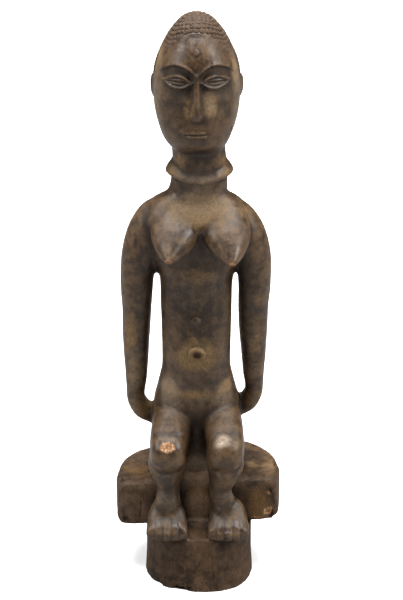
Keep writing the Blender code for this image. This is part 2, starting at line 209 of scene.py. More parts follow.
base = {
    "radius": 43, "deeper": 2.3, "taper": 1, "rounding": 1.3, "buried": 1.6,
    "bulgeRight": 3.8, "bulgeLeft": 1.2, "bulgeTurn": 52, "bulgeReach": 28,
    "waist": 0.35, "waistTaper": 0.5, "waistBulge": 0.3,  # shares of height, taper and bulge
}
stool = {
    "radius": 66, "back": 10, "aside": -0.8, "squareness": 2.2, "corner": 16, "rounding": 5,
    "letIn": 1.0, "slope": 0.038, "tilt": 0.028, "flatBehind": 8, "flatTurn": 118, "flatReach": 18,
    "heelBank": (37, 4, 4),
}


def roundTurns():
    return [math.tau * i / log["turned"] for i in range(log["turned"])]


def baseBlock(wood):
    high, radius, rounding = log["baseHeight"], base["radius"], base["rounding"]
    top = radius - base["taper"]
    waist = radius - base["taper"] * base["waistTaper"]
    rings = []
    for z, wide, deep, uneven in (
        (-base["buried"], radius, radius + base["deeper"], 1),
        (high * base["waist"], waist, radius, base["waistBulge"]),
        (high - rounding, top, top, 0),
        (high, top - rounding, top - rounding, 0),
    ):
        ring = []
        for turn in roundTurns():
            angle = math.degrees(turn) - 360
            bulge = base["bulgeRight"] * bell(angle + base["bulgeTurn"], base["bulgeReach"])
            bulge += base["bulgeLeft"] * bell(angle + 180 - base["bulgeTurn"], base["bulgeReach"])
            bulge *= uneven
            ring.append(Vector(((wide + bulge) * math.cos(turn), (deep + bulge) * math.sin(turn), z)))
        rings.append(ring)
    skinOver(wood, rings)


def drumOutline(z, shrink, tilt=0.0):
    # squarish and round at once, cut flat in front
    radius, corner, power = stool["radius"] - shrink, stool["corner"], stool["squareness"]
    flat = stool["back"] - log["flatFront"] - shrink
    points = []
    for turn in roundTurns():
        reach = radius / (abs(math.cos(turn)) ** power + abs(math.sin(turn)) ** power) ** (1 / power)
        reach -= stool["flatBehind"] * bell(math.degrees(turn) - stool["flatTurn"], stool["flatReach"])
        if math.sin(turn) < 0:
            toFlat = flat / -math.sin(turn)
            reach = (radius**-corner + toFlat**-corner) ** (-1 / corner)
        x = stool["aside"] + reach * math.cos(turn)
        y = stool["back"] + reach * math.sin(turn)
        points.append(Vector((x, y, z + x * stool["slope"] + (y - log["flatFront"]) * tilt)))
    return points


def drumStool(wood):
    low, seat, rounding = log["baseHeight"] - stool["letIn"], log["seat"], stool["rounding"]
    half = rounding * (1 - math.sqrt(0.5))
    skinOver(wood, [
        drumOutline(low, rounding),
        drumOutline(low + half, half),
        drumOutline(low + rounding, 0),
        drumOutline(seat - rounding, 0, stool["tilt"]),
        drumOutline(seat - half, half, stool["tilt"]),
        drumOutline(seat, rounding, stool["tilt"]),
    ])


def heelBank(wood):
    # wood left standing between base and stool behind the heels
    foot = Vector((0, log["flatFront"], log["baseHeight"]))
    ball(wood, foot, *stool["heelBank"], boxiness["heelBank"])


# Trunk, neck and collar

trunkRows = (  # height above the seat, half width, front and back
    (-3, 30, 6, 45), (12, 34, 2, 50), (32, 35.5, -5, 50), (52, 34.6, -13, 46), (66, 33.6, -18.5, 40),
    (77, 31.1, -20, 34), (87, 29, -20.5, 29), (97, 27, -21.5, 26), (113, 27, -22.5, 24.5),
    (135, 27.5, -20.5, 25), (152, 27.9, -19.5, 27), (166, 28.2, -20, 29), (176, 30, -21, 30.5),
    (188, 35, -21, 31.5), (203, 39, -21, 31), (216, 38.5, -20, 28.5), (226, 36.5, -18, 25),
    (231, 35.4, -17.5, 23), (234, 31.5, -17, 22), (237, 25.6, -16.5, 21), (240, 21.4, -16, 20),
)
chestRows = (
    (240, 20, -15, 5), (233, 31, -17.5, 8), (226, 36, -21.5, 12), (220, 38, -25, 12),
    (216, 38, -26.5, 12), (212.5, 37, -24.5, 12), (209, 35, -19, 12), (205, 33, -15, 10),
)
neckRows = (
    (228, 30, -16, 22), (235, 25.5, -17.5, 21), (242, 22.4, -18.5, 20), (257, 21.2, -19, 20),
    (270, 20.4, -19, 21), (284, 20, -17, 22), (292, 17, -12, 20),
)
buttocks = {"aside": 17, "back": 27, "rise": 23, "size": (18.5, 25, 26)}


def trunk(wood):
    upright(wood, trunkRows, boxiness["trunk"])
    upright(wood, chestRows, boxiness["chest"])
    for side in (-1, 1):
        middle = onFigure(buttocks["aside"] * side, buttocks["back"], buttocks["rise"])
        ball(wood, middle, *buttocks["size"])


collar = {
    "halfWide": 19.6, "halfDeep": 18.4, "back": 0.5, "rise": 1, "dip": 5, "thinner": 0.42,
    "profile": (  # out and up: a slope down to a thin edge, undercut
        (-4, 9), (0.6, 8), (3.2, 4.6), (5.4, 1.2), (6.4, -0.8), (6.0, -3.4), (3.4, -5.6), (-4, -7),
    ),
}


def collarRing(wood):
    # dips and grows thinner in front
    rings = []
    for i in range(log["ringPoints"]):
        turn = math.tau * i / log["ringPoints"]
        front = max(0.0, -math.sin(turn))
        out = Vector((math.cos(turn), math.sin(turn), 0))
        middle = onFigure(
            collar["halfWide"] * math.cos(turn),
            collar["back"] + collar["halfDeep"] * math.sin(turn),
            figure["collar"] + collar["rise"] - collar["dip"] * front**2,
        )
        size = 1 - collar["thinner"] * front
        rings.append([middle + out * a * size + Vector((0, 0, b * size)) for a, b in collar["profile"]])
    skinOver(wood, rings, loop=True)


# Head, hair, ears, nose and lips

headRows = (
    (271, 15, -13, 18), (276, 20.2, -23, 22), (281, 23.8, -29.5, 26), (288, 27, -32.5, 30),
    (298, 30.2, -33.5, 34), (310, 32.3, -33, 37), (322, 32.6, -33, 39), (333, 31.4, -33.5, 39.5),
    (344, 28.4, -33.5, 38.5), (354, 24, -30.5, 35.5), (362, 19, -25.5, 31), (369, 13, -18.5, 25),
    (373, 8, -11, 18), (375.5, 2, -2, 8),
)
hairRows = (
    (292, 20, 10, 34), (304, 28.6, 7, 39), (316, 32.8, 4, 41.8), (328, 33.0, -5, 43),
    (339, 30.9, -13, 42.3), (348, 27.6, -20, 40.2), (356, 23.7, -24, 36.8),
    (363, 19.3, -24.2, 32.3), (369.5, 14.0, -19.6, 26.6), (373.5, 8.8, -12, 19), (376, 2.4, -2, 8),
)
noseRows = (  # front to back, height from the eyes, half width, half depth
    (-31, 10, 2, 2), (-32.5, 2, 2, 3), (-33.6, -12.5, 2.6, 4), (-34.6, -21.5, 3.7, 4.6),
    (-34.6, -25, 4.4, 4.2), (-33, -26.5, 3.6, 2.4),
)
ear = {
    "aside": 30.9, "back": 3, "rise": 17, "size": (3.0, 5.4, 8.6),
    "rimTurn": 0.4, "rimOut": 1.0, "rim": (4.4, 7.6, 1.4, 1.7),
}
lip = {"front": -32.2, "halfWide": 7.6, "halfDeep": 2.4, "upper": (1.5, 1.3), "lower": (-1.6, 1.4)}


def ears(wood):
    for side in (-1, 1):
        middle = onFigure(ear["aside"] * side, ear["back"], figure["noseFoot"] + ear["rise"])
        ball(wood, middle, *ear["size"])
        back = Vector((ear["rimTurn"] * side, 1, 0)).normalized()
        hoop(wood, middle + Vector((ear["rimOut"] * side, 0, 0)), back, upward, *ear["rim"])


def nose(wood):
    limb(wood, [(onFigure(0, y, figure["eye"] + rise), wide, deep) for y, rise, wide, deep in noseRows])


def lips(wood):
    for rise, halfHigh in (lip["upper"], lip["lower"]):
        middle = onFigure(0, lip["front"], figure["mouth"] + rise)
        ball(wood, middle, lip["halfWide"], lip["halfDeep"], halfHigh)


# Breasts, navel and scars

breastRows = (  # to the side, front to back, height, half width, half depth
    (17, -9, 226, 15, 9), (19, -15, 216, 18.6, 12), (20.8, -23.5, 208, 17.2, 13),
    (22.4, -32.5, 202.5, 12.2, 10), (23.4, -40, 199.4, 6.8, 6.2), (23.9, -44.2, 198, 3.4, 3.3),
    (24.1, -46.5, 197.4, 1.6, 1.6),
)
breast = {"aside": 3.4, "dropRight": 2.0, "dropOver": (-9, -46)}
navel = {
    "aside": 0.5, "front": -22, "slope": -0.28, "ring": (4.6, 4.6, 1.9, 1.7),
    "pit": 1.7, "pitReach": 2.5, "brim": 0.8, "brimAt": 5.2, "brimReach": 1.3,
}
scar = {"rises": (18, 27.5), "front": -20.2, "size": (3.4, 1.1, 3.2)}


def breasts(wood):
    for side in (-1, 1):
        rows = []
        for x, y, z, wide, deep in breastRows:
            lower = breast["dropRight"] * softStep(*breast["dropOver"], y) if side > 0 else 0
            rows.append((onFigure(breast["aside"] + x * side, y, z - lower), wide, deep))
        limb(wood, rows)


def navelRing(wood):
    belly = onFigure(navel["aside"], navel["front"], figure["navel"])
    along = Vector((0, navel["slope"], 1)).normalized()
    hoop(wood, belly, sideways, along, *navel["ring"])


def scars(wood):
    for rise in scar["rises"]:
        ball(wood, onFigure(0, scar["front"], figure["navel"] + rise), *scar["size"])


# Arms, legs and feet

arms = {
    "left": {"out": 1.9, "drop": 9.3, "inward": 0.8, "wider": 0},
    "right": {"out": -0.6, "drop": 3.2, "inward": 2.6, "wider": 0.6},
    "hang": (90, 225),     # between these heights out and drop fade away upward
    "elbow": (136, 20),    # a height, and the reach round it
    "armpit": (222, 12),
}
armRows = (  # to the side, front to back, height, half width, half depth
    (24, 3, 225, 9, 12), (33.4, 4, 218.6, 12.4, 15), (39.4, 4.5, 206, 13.8, 16.5), (43.4, 5, 191, 14, 16),
    (45.2, 6, 176, 13.3, 15), (45.7, 7.5, 160, 12.5, 14), (45.4, 9.5, 145, 11.5, 13),
    (45.8, 11, 125, 10.8, 12), (45.8, 12, 106, 9.7, 10.8), (45.9, 12, 90, 8.5, 9.5),
    (46.6, 13, 79, 7.4, 8.2), (45.8, 15, 70, 7.5, 8.4), (41, 19, 60.5, 8, 8.4), (33.5, 25, 53, 8, 7),
    (27, 31.5, 47, 7, 5.4), (21.5, 36.5, 42.5, 4, 4),
)
legs = {"rightThighOut": 1.2, "rightAnkleIn": 3.2, "ankle": 0.52, "ankleReach": 0.24}
thighRows = (  # to the side, front to back, height, half width, half depth
    (16, 14, 38, 17, 28), (19.2, -4, 43, 16, 24.6), (21.4, -20, 40.5, 15, 20.6),
    (22.2, -31, 37, 14.2, 18.4), (22.2, -39.8, 36, 13.2, 14.6), (22.2, -45.2, 35.8, 10.6, 10.6),
    (22.2, -48, 35.8, 6.4, 6.6), (22.2, -49.2, 35.8, 2.4, 2.4),
)
shinRows = (  # share of the way down, to the side, ahead of the stool's face, half width, half depth
    (0.0, 22.2, 20, 13.8, 14), (0.1, 22.2, 17.5, 14.2, 15), (0.19, 23.4, 14.5, 14.6, 15.5),
    (0.33, 23.0, 12, 12, 14), (0.46, 22.2, 10.5, 9.4, 12), (0.57, 22.2, 9.5, 9, 11.5),
    (0.7, 22.6, 9, 10.5, 12), (0.92, 23.0, 9, 12, 12),
)
feet = {"tip": -45, "apart": 24.4, "toePitch": 6.4, "toeHalf": 3.5, "greatToe": 0.5, "toeArc": 0.7}
footRows = (  # share of the foot's length ahead of the stool's face, half width, height
    (-0.12, 9.8, 14), (0.1, 11.8, 24), (0.32, 13.8, 27), (0.52, 15.6, 21.5), (0.72, 16.5, 15),
    (0.9, 16.4, 11),
)


def armOn(side):
    return arms["left"] if side < 0 else arms["right"]


def arm(wood, side):
    own = armOn(side)
    (elbow, elbowReach), (armpit, armpitReach) = arms["elbow"], arms["armpit"]
    places = []
    for x, y, z, wide, deep in armRows:
        low = 1 - softStep(*arms["hang"], z)
        wider = own["wider"] * bell(z - elbow, elbowReach)
        x += own["out"] * low - own["inward"] * bell(z - armpit, armpitReach) - wider
        places.append((onFigure(x * side, y, z - own["drop"] * low), wide + wider, deep))
    limb(wood, places, boxiness["arm"])


def leg(wood, side):
    out = legs["rightThighOut"] if side > 0 else 0
    thigh = [(onFigure((x + out) * side, y, z), wide, deep) for x, y, z, wide, deep in thighRows]
    limb(wood, thigh, boxiness["thigh"])
    kneeHeight = log["seat"] + figure["knee"]
    shinLength = kneeHeight - log["baseHeight"]
    shin = []
    for down, x, ahead, wide, deep in shinRows:
        if side > 0:
            x -= legs["rightAnkleIn"] * bell(down - legs["ankle"], legs["ankleReach"])
        z = kneeHeight - down * shinLength
        shin.append((Vector((figure["bodyLean"] + x * side, log["flatFront"] - ahead, z)), wide, deep))
    limb(wood, shin, boxiness["shin"])


def footMiddle(side):
    return figure["bodyLean"] / 2 + feet["apart"] * side


def foot(wood, side):
    length = log["flatFront"] - feet["tip"]
    ground = log["baseHeight"]
    rings = []
    for share, wide, high in smoothRows(footRows):
        middle = Vector((footMiddle(side), log["flatFront"] - share * length, ground + high / 2 - 1))
        rings.append(crossSection(middle, sideways, upward, wide, high / 2 + 1, boxiness["foot"]))
    skinOver(wood, rings)
    for i in range(5):
        place = i - 2
        great = feet["greatToe"] if i == (0 if side > 0 else 4) else 0.0
        radius = feet["toeHalf"] + great
        x = footMiddle(side) + place * feet["toePitch"]
        tip = feet["tip"] + place * place * feet["toeArc"] - great
        limb(wood, [
            (Vector((x, feet["tip"] + 0.5 * length, ground + 7)), radius, 4.5),
            (Vector((x, feet["tip"] + 0.22 * length, ground + 4.6)), radius, 5),
            (Vector((x, tip + 1.6, ground + 3.8)), radius, 4.4),
            (Vector((x, tip, ground + 3.4)), radius * 0.6, 2.4),
        ])


# From overlapping forms to one skin

def newObject(name, data):
    made = bpy.data.objects.new(name, data)
    bpy.context.scene.collection.objects.link(made)
    return made


def finished(holder):
    # the mesh as the holder's modifiers leave it
    graph = bpy.context.evaluated_depsgraph_get()
    mesh = bpy.data.meshes.new_from_object(holder.evaluated_get(graph))
    bpy.data.objects.remove(holder)
    return mesh


def fuse(source, voxel, softening, name):
    sourceMesh = bpy.data.meshes.new(name)
    source.to_mesh(sourceMesh)
    source.free()
    rough = newObject(name, sourceMesh)
    remesh = rough.modifiers.new("fuse", "REMESH")
    remesh.mode = "VOXEL"
    remesh.voxel_size = voxel
    soften = rough.modifiers.new("soften", "SMOOTH")
    soften.factor = 0.5
    soften.iterations = softening
    mesh = finished(rough)
    bpy.data.meshes.remove(sourceMesh)
    return mesh


def thin(mesh, most):
    carving = newObject("thinning", mesh)
    mesh.calc_loop_triangles()
    fewer = carving.modifiers.new("fewer", "DECIMATE")
    fewer.ratio = min(1.0, most / len(mesh.loop_triangles))
    return finished(carving)


def carveForms():
    wood = bmesh.new()
    heelBank(wood)
    trunk(wood)
    upright(wood, neckRows, boxiness["neck"])
    upright(wood, headRows, boxiness["head"])
    breasts(wood)
    for side in (-1, 1):
        arm(wood, side)
        leg(wood, side)
        foot(wood, side)
    broad = fuse(wood, log["broadVoxel"], log["broadSoftening"], "broadForms")
    print("broad forms fused")
    wood = bmesh.new()
    wood.from_mesh(broad)
    baseBlock(wood)
    drumStool(wood)
    collarRing(wood)
    upright(wood, hairRows, boxiness["head"])
    ears(wood)
    nose(wood)
    lips(wood)
    navelRing(wood)
    scars(wood)
    fine = fuse(wood, log["fineVoxel"], log["fineSoftening"], "fineForms")
    print("fine forms fused:", len(fine.polygons), "faces")
    return fine


def vectorsOf(items, key):
    values = np.empty(len(items) * 3, dtype=np.float32)
    items.foreach_get(key, values)
    return values.reshape(-1, 3).astype(float)


def pointsOf(mesh):
    return vectorsOf(mesh.vertices, "co")


def normalsOf(mesh):
    return vectorsOf(mesh.vertex_normals, "vector")


def movePoints(mesh, points):
    mesh.vertices.foreach_set("co", points.astype(np.float32).ravel())
    mesh.update()


def heightsOf(points):
    return points[:, 2] - log["seat"]


def refineWhere(mesh, chosen):
    # splits each face into four where the carving is finest
    wood = bmesh.new()
    wood.from_mesh(mesh)
    edges = [edge for edge in wood.edges if chosen(edge.verts[0].co) and chosen(edge.verts[1].co)]
    bmesh.ops.subdivide_edges(wood, edges=edges, cuts=1, use_grid_fill=True)
    wood.to_mesh(mesh)
    wood.free()


fineZones = {
    "headFrom": 268,
    "bellyMiddle": -1.5, "bellyHalfWide": 12, "bellyFront": -10, "bellyHeights": (100, 148),
    "toesFront": -18, "toesHeights": (43, 62),  # these heights are above the ground
}


def needsFineCarving(place):
    # the head, the belly round the navel, and the toes
    height = place.z - log["seat"]
    if height > fineZones["headFrom"]:
        return True
    low, high = fineZones["bellyHeights"]
    if low < height < high and abs(place.x - fineZones["bellyMiddle"]) < fineZones["bellyHalfWide"]:
        return place.y < fineZones["bellyFront"]
    low, high = fineZones["toesHeights"]
    return place.y < fineZones["toesFront"] and low < place.z < high


# Carving of the surface

def noiseAt(points, size, seed=0.0, stretch=(1, 1, 1)):
    scale = np.array(stretch) / size
    shift = np.array((seed * 7.31, seed * 3.17, seed * 5.77))
    return np.array([noise.noise(row) for row in (points * scale + shift)])


headMark = {"rise": 22, "halfWide": 1.3, "halfHigh": 2.4, "proud": 0.55}
face = {
    "front": -8, "reachDown": 50,  # how far forward it starts, and how far below the eyes it ends
    "sides": (24, 29), "cheekTop": (15, 4), "besideNose": (1.5, 5), "socket": 2.6,
    "browAbove": 5.5, "browArch": 6.5, "browSpan": 27, "browDip": 1.5, "browProud": 1.0,
    "eyeHalfWide": 11, "eyeHalfHigh": 5.4, "eyeProud": 2.2, "rimProud": 1.0, "rimInside": 0.9,
    "lidHigh": 0.42, "lidWide": 0.8, "lidProud": 0.9, "slit": 1.6,
    "cheekHollow": 1.1, "mouthLine": 0.8, "mouthEnds": (7.5, 9.5), "nostril": 1.0, "nostrilAside": 2.6,
}


def faceRelief(across, height):
    # how far the face stands out at a place on its front
    side, rise = np.abs(across), height - figure["eye"]
    arch = np.sin(np.pi * np.clip((side - 1) / face["browSpan"], 0, 1))
    brow = figure["eye"] + face["browAbove"] + face["browArch"] * arch - face["browDip"] * bell(side, 3)
    inside = 1 - softStep(*face["sides"], side)
    cheekLow, cheekHigh = face["cheekTop"]
    aboveCheek = softStep(figure["eye"] - cheekLow, figure["eye"] - cheekHigh, height)
    belowBrow, besideNose = softStep(-0.7, 1.0, brow - height), softStep(*face["besideNose"], side)
    relief = -face["socket"] * belowBrow * inside * aboveCheek * besideNose
    relief += face["browProud"] * bell(brow + 1.1 - height, 1.6) * inside
    fromEye = (side - figure["eyeApart"]) / face["eyeHalfWide"]
    almond = np.abs(rise) / face["eyeHalfHigh"] + fromEye**2
    relief += face["eyeProud"] * (1 - softStep(0.8, 1.25, almond))
    relief += face["rimProud"] * bell(almond - 0.86, 0.16)
    relief -= face["rimInside"] * (1 - softStep(0.45, 0.7, almond))
    lid = np.abs(rise) / (face["eyeHalfHigh"] * face["lidHigh"]) + (fromEye / face["lidWide"]) ** 2
    relief += face["lidProud"] * (1 - softStep(0.8, 1.1, lid))
    relief -= face["slit"] * bell(rise, 0.55) * (1 - softStep(0.5, 0.72, np.abs(fromEye)))
    cheek = bell(side - 15, 9) * softStep(-24, -16, rise) * (1 - softStep(-12, -5, rise))
    relief -= face["cheekHollow"] * cheek
    mouthLine = bell(height - figure["mouth"], 0.5) * (1 - softStep(*face["mouthEnds"], side))
    relief -= face["mouthLine"] * mouthLine
    nostril = bell(side - face["nostrilAside"], 1.0) * bell(height - figure["noseFoot"] - 0.2, 1.0)
    relief -= face["nostril"] * nostril
    mark = np.hypot(side / headMark["halfWide"], (rise - headMark["rise"]) / headMark["halfHigh"])
    relief += headMark["proud"] * (1 - softStep(0.6, 1.1, mark))
    return relief


hair = {
    "pitch": 4.2, "proud": 1.15, "sides": 0.16, "sidesTop": (350, 366), "sunk": 0.35, "pit": 0.55,
    "headRadius": 41, "middle": 336, "back": 4, "jitter": 0.22, "waver": 1.3,
    "brow": 366.5, "browCurve": 0.030, "temple": 7.5, "templeSlope": 0.46, "templeHeight": 312,
    "nape": (289, 293), "earAside": 30.6, "earTop": 336, "earReach": 8.5,
}


def hairline(points):
    # 1 where the hair is, 0 on the skin in front of it
    x = points[:, 0] - figure["headLean"]
    y = points[:, 1]
    height = heightsOf(points)
    front = height - (hair["brow"] - hair["browCurve"] * x**2)
    behindTemple = y - (hair["temple"] - hair["templeSlope"] * (height - hair["templeHeight"]))
    cap = np.maximum(front, behindTemple)
    onEar = (np.abs(x) > hair["earAside"]) & (height < hair["earTop"])
    onEar &= np.abs(y - ear["back"]) < hair["earReach"]
    return softStep(-0.6, 0.9, cap) * softStep(*hair["nape"], height) * (1 - onEar)


def hairCurls(points):
    # rows of small knobs, each with a pit, in rings round the crown
    x = points[:, 0] - figure["headLean"]
    y = points[:, 1] - hair["back"]
    z = points[:, 2] - log["seat"] - hair["middle"]
    pitch, radius = hair["pitch"], hair["headRadius"]
    reach = np.sqrt(x * x + y * y + z * z) + 1e-6
    arc = np.arccos(np.clip(z / reach, -1, 1)) * radius + hair["waver"] * noiseAt(points, 11, 2)
    row = np.floor(arc / pitch)
    ring = radius * np.sin(np.clip((row + 0.5) * pitch / radius, 0.02, 3.1))
    count = np.maximum(1, np.round(math.tau * ring / pitch))
    u = (np.arctan2(y, x) / math.tau * count + 0.5 * (row % 2)) % 1 - 0.5
    v = (arc / pitch) % 1 - 0.5
    u = u + hair["jitter"] * noiseAt(points, pitch, 4)
    v = v + hair["jitter"] * noiseAt(points, pitch, 6)
    fromMiddle = np.sqrt(u * u + v * v)
    return 1 - softStep(0.2, 0.5, fromMiddle) - hair["pit"] * bell(fromMiddle, 0.15)


hand = {
    "wrist": (38, 21, 58), "tip": (21, 37, 42), "outward": (0.75, 0.66, 0.0),
    "grooves": (-3.9, 0.1, 4.0), "grooveHalf": 0.75, "start": (5, 11), "end": (27, 31), "proud": (1, 3),
    "deep": 1.1,
}


def handFingers(points, side):
    # grooves between the fingers of the hand behind the hip
    own = armOn(side)
    (wristX, wristY, wristZ), (tipX, tipY, tipZ) = hand["wrist"], hand["tip"]
    wrist = np.array(onFigure((wristX + own["out"]) * side, wristY, wristZ - own["drop"]))
    tip = np.array(onFigure((tipX + own["out"]) * side, tipY, tipZ - own["drop"]))
    along = (tip - wrist) / np.linalg.norm(tip - wrist)
    outward = np.array(hand["outward"]) * (side, 1, 1)
    across = np.cross(along, outward)
    across /= np.linalg.norm(across)
    away = points - wrist
    reach, w, proud = away @ along, away @ across, away @ outward
    lines = sum(bell(w - place, hand["grooveHalf"]) for place in hand["grooves"])
    ends = softStep(*hand["start"], reach) * (1 - softStep(*hand["end"], reach))
    return lines * ends * softStep(*hand["proud"], proud)


# Hollows: a middle, how far it reaches on each side, and how deep
dents = {
    "rimBreakFrontLeft": ((-15, -42, 0), (11, 5, 4.2), 2.4),
    "rimBreakSmall": ((-31, -31, 0), (6, 4, 3.0), 1.2),
    "rimNibbleFront": ((3, -43, 0), (3, 3, 2.0), 0.6),
    "rimNibbleRight": ((24, -36, 0), (4, 4, 1.8), 0.5),
    "stoolCornerNotch": ((56.5, -11, 72), (2.2, 4, 2.2), 1.4),
    "stoolCornerLow": ((56, -10, 52), (4.5, 5, 4.5), 1.7),
    "stoolCornerLower": ((61, -4, 47.5), (4, 5, 3.5), 1.8),
    "stoolRimRight": ((63, 16, 82), (3.5, 6, 2.5), 1.1),
    "stoolRimRightBack": ((50, 48, 81), (5, 5, 2.5), 1.2),
    "stoolRimLeft": ((-63, -2, 78), (3, 4, 2.5), 1.0),
    "stoolRimLeftLow": ((-58, -9, 47), (4, 4, 3), 1.3),
    "stoolRimBack": ((-20, 74, 80), (7, 3.5, 3), 1.5),
    "leftFootEdge": ((-40.5, -33, 47), (2.6, 6, 4), 1.3),
    "leftKneeChip": ((-24.3, -48.5, 127), (6.0, 4, 4.6), 1.0),
    "rightKneeChip": ((18.9, -44, 131.5), (5.4, 4, 4.2), 0.8),
    "leftNippleChip": ((-23.0, -47.5, 277), (3.2, 2.4, 2.6), 1.0),
    "rightNippleChip": ((25.5, -47.5, 275), (2.8, 2.2, 2.4), 0.8),
    "browNick": ((9, -31, 424), (1.2, 2, 3), 0.5),
    "jawNick": ((24.5, -18, 372), (1.0, 3, 4), 0.8),
}
# Cracks down the grain: a foot, a top, half width and depth
cracks = {
    "baseFront": ((12, -43, 3), (10.5, -42, 30), 0.5, 1.1),
    "baseBackLeft": ((-30, 31, 0), (-28, 31, 43), 0.6, 1.8),
    "stoolLeft": ((-47, -11, 47), (-46, -11, 66), 0.45, 1.0),
    "betweenFeet": ((4.6, -11.5, 45), (3.8, -11, 74), 0.6, 1.7),
    "stoolBack": ((22, 74.5, 46), (24, 74, 80), 0.6, 1.6),
    "neckLeft": ((-14, -14, 344), (-12, -15.5, 356), 0.4, 0.7),
    "backOfHead": ((5, 42, 392), (3, 43, 424), 0.5, 0.9),
    "spineLow": ((4, 26, 205), (2.5, 25, 236), 0.45, 0.8),
}


def shareAway(points, middle, reach):
    # 0 at a patch's middle, 1 at its reach
    return np.sqrt((((points - middle) / reach) ** 2).sum(axis=1))


def dentDepth(points, jag):
    depth = np.zeros(len(points))
    for middle, reach, deep in dents.values():
        away = shareAway(points, middle, reach) + 0.35 * jag
        depth += deep * (1 - softStep(0.55, 1.1, away))
    return depth


def crackDepth(points, jag):
    depth = np.zeros(len(points))
    for foot, top, halfWide, deep in cracks.values():
        foot, top = np.array(foot, float), np.array(top, float)
        run = top - foot
        share = np.clip(((points - foot) @ run) / (run @ run), 0, 1)
        away = points - foot - share[:, None] * run
        away[:, 0] += 0.7 * jag
        distance = np.linalg.norm(away, axis=1)
        ends = softStep(0, 0.15, share) * (1 - softStep(0.8, 1, share))
        depth += deep * bell(distance, halfWide) * ends
    return depth


trunkMarks = {
    "spine": 2.4, "spineHalf": 3.4, "spineFoot": (58, 80), "spineTop": (222, 240),
    "cleft": 3.0, "cleftHalf": 2.2, "cleftFoot": 2, "cleftTop": (40, 56),
    "blade": 1.8, "bladeAside": 17, "bladeHalf": 9, "bladeHeight": 204, "bladeHalfHigh": 14,
    "crease": 0.25, "creaseHeight": 70, "creaseSlope": 0.42, "creaseHalf": 3.0,
    "creaseStart": (4, 9), "creaseEnd": (22, 31),
}
legMarks = {
    "foldHeight": 20.5, "foldCurve": 0.03, "foldHalf": 1.5, "foldEnds": (7, 12),
    "leftFold": 0.45, "rightFold": 0.6, "ankleShare": 0.7, "ankleHeight": -5.5, "ankleHalf": 1.2,
    "toeGroove": 0.4, "toeGrooveHalf": 0.14, "toeFront": (-42, -33), "toeHeights": (0.8, 22),
}
knife = {
    "facet": 9, "facetOnFigure": 0.22, "facetMore": 0.35,
    "ripple": 3.2, "rippleOnFigure": 0.07, "rippleMore": 0.10, "jag": 2.2,
}


def carveTrunk(move, points):
    # spine and cleft, shoulder blades, and the creases where the thighs begin
    marks, y, height = trunkMarks, points[:, 1], heightsOf(points)
    mid = points[:, 0] - figure["bodyLean"]
    aside, behind = np.abs(mid), softStep(5, 15, y)
    spine = marks["spine"] * bell(mid, marks["spineHalf"]) * behind
    move -= spine * softStep(*marks["spineFoot"], height) * (1 - softStep(*marks["spineTop"], height))
    cleft = marks["cleft"] * bell(mid, marks["cleftHalf"]) * softStep(20, 30, y)
    move -= cleft * (1 - softStep(*marks["cleftTop"], height)) * (height > marks["cleftFoot"])
    blade = bell(aside - marks["bladeAside"], marks["bladeHalf"])
    blade *= bell(height - marks["bladeHeight"], marks["bladeHalfHigh"])
    move += marks["blade"] * blade * behind
    rise = height - (marks["creaseHeight"] + marks["creaseSlope"] * (aside - 8))
    crease = bell(rise + 1.2 * noiseAt(points, 8, 5), marks["creaseHalf"])
    creaseEnd = 1 - softStep(*marks["creaseEnd"], aside)
    move -= marks["crease"] * crease * softStep(*marks["creaseStart"], aside) * creaseEnd * (y < -6)


def carveLegs(move, points, side):
    # a fold under the knee and at the ankle, grooves between the toes, and the hand's fingers
    marks, (x, y, z), height = legMarks, points.T, heightsOf(points)
    across = x - figure["bodyLean"] - figure["legApart"] * side
    onShin = (y < log["flatFront"] - 2) & (np.abs(across) < 17)
    wander = noiseAt(points, 7, 11 + side)
    fold = bell(height - marks["foldHeight"] - marks["foldCurve"] * across**2 + wander, marks["foldHalf"])
    fold *= 1 - softStep(*marks["foldEnds"], np.abs(across))
    fold += marks["ankleShare"] * bell(height - marks["ankleHeight"] + wander, marks["ankleHalf"])
    move -= (marks["leftFold"] if side < 0 else marks["rightFold"]) * fold * onShin
    toe = (x - footMiddle(side)) / feet["toePitch"]
    between = bell(np.abs((toe % 1) - 0.5), marks["toeGrooveHalf"]) * (np.abs(toe) < 2.1)
    ahead = 1 - softStep(*marks["toeFront"], y)
    lowest, highest = marks["toeHeights"]
    low = (z > log["baseHeight"] + lowest) & (z < log["baseHeight"] + highest)
    move -= marks["toeGroove"] * between * ahead * low
    move -= hand["deep"] * handFingers(points, side) * (y > 10) * (height > 15) * (height < 75)


def carveNavel(move, points):
    # a pit, and a low brim over its ring
    ahead, rise = points[:, 1] < -15, heightsOf(points) - figure["navel"]
    away = np.hypot(points[:, 0] - figure["bodyLean"] - navel["aside"], rise)
    move -= navel["pit"] * bell(away + 0.5 * noiseAt(points, 3, 8), navel["pitReach"]) * ahead
    move += navel["brim"] * bell(away - navel["brimAt"], navel["brimReach"]) * softStep(-1, 3, rise) * ahead


def carveKnife(move, points):
    # long shallow facets down the grain, deeper on the blocks than on the figure
    x, y, z = points.T
    facets = noiseAt(points, knife["facet"], 1, (1, 1, 0.35))
    ripple = noiseAt(points, knife["ripple"], 3, (1, 1, 0.3))
    onBlocks = 1 - softStep(log["seat"] - 3, log["seat"] + 3, z)
    footed = softStep(3, 8, -y - 26) * (np.abs(x) < 43)
    rough = np.clip(onBlocks - 0.5 * footed, 0, 1)
    facet = knife["facetOnFigure"] + knife["facetMore"] * rough
    move += facet * facets + (knife["rippleOnFigure"] + knife["rippleMore"] * rough) * ripple


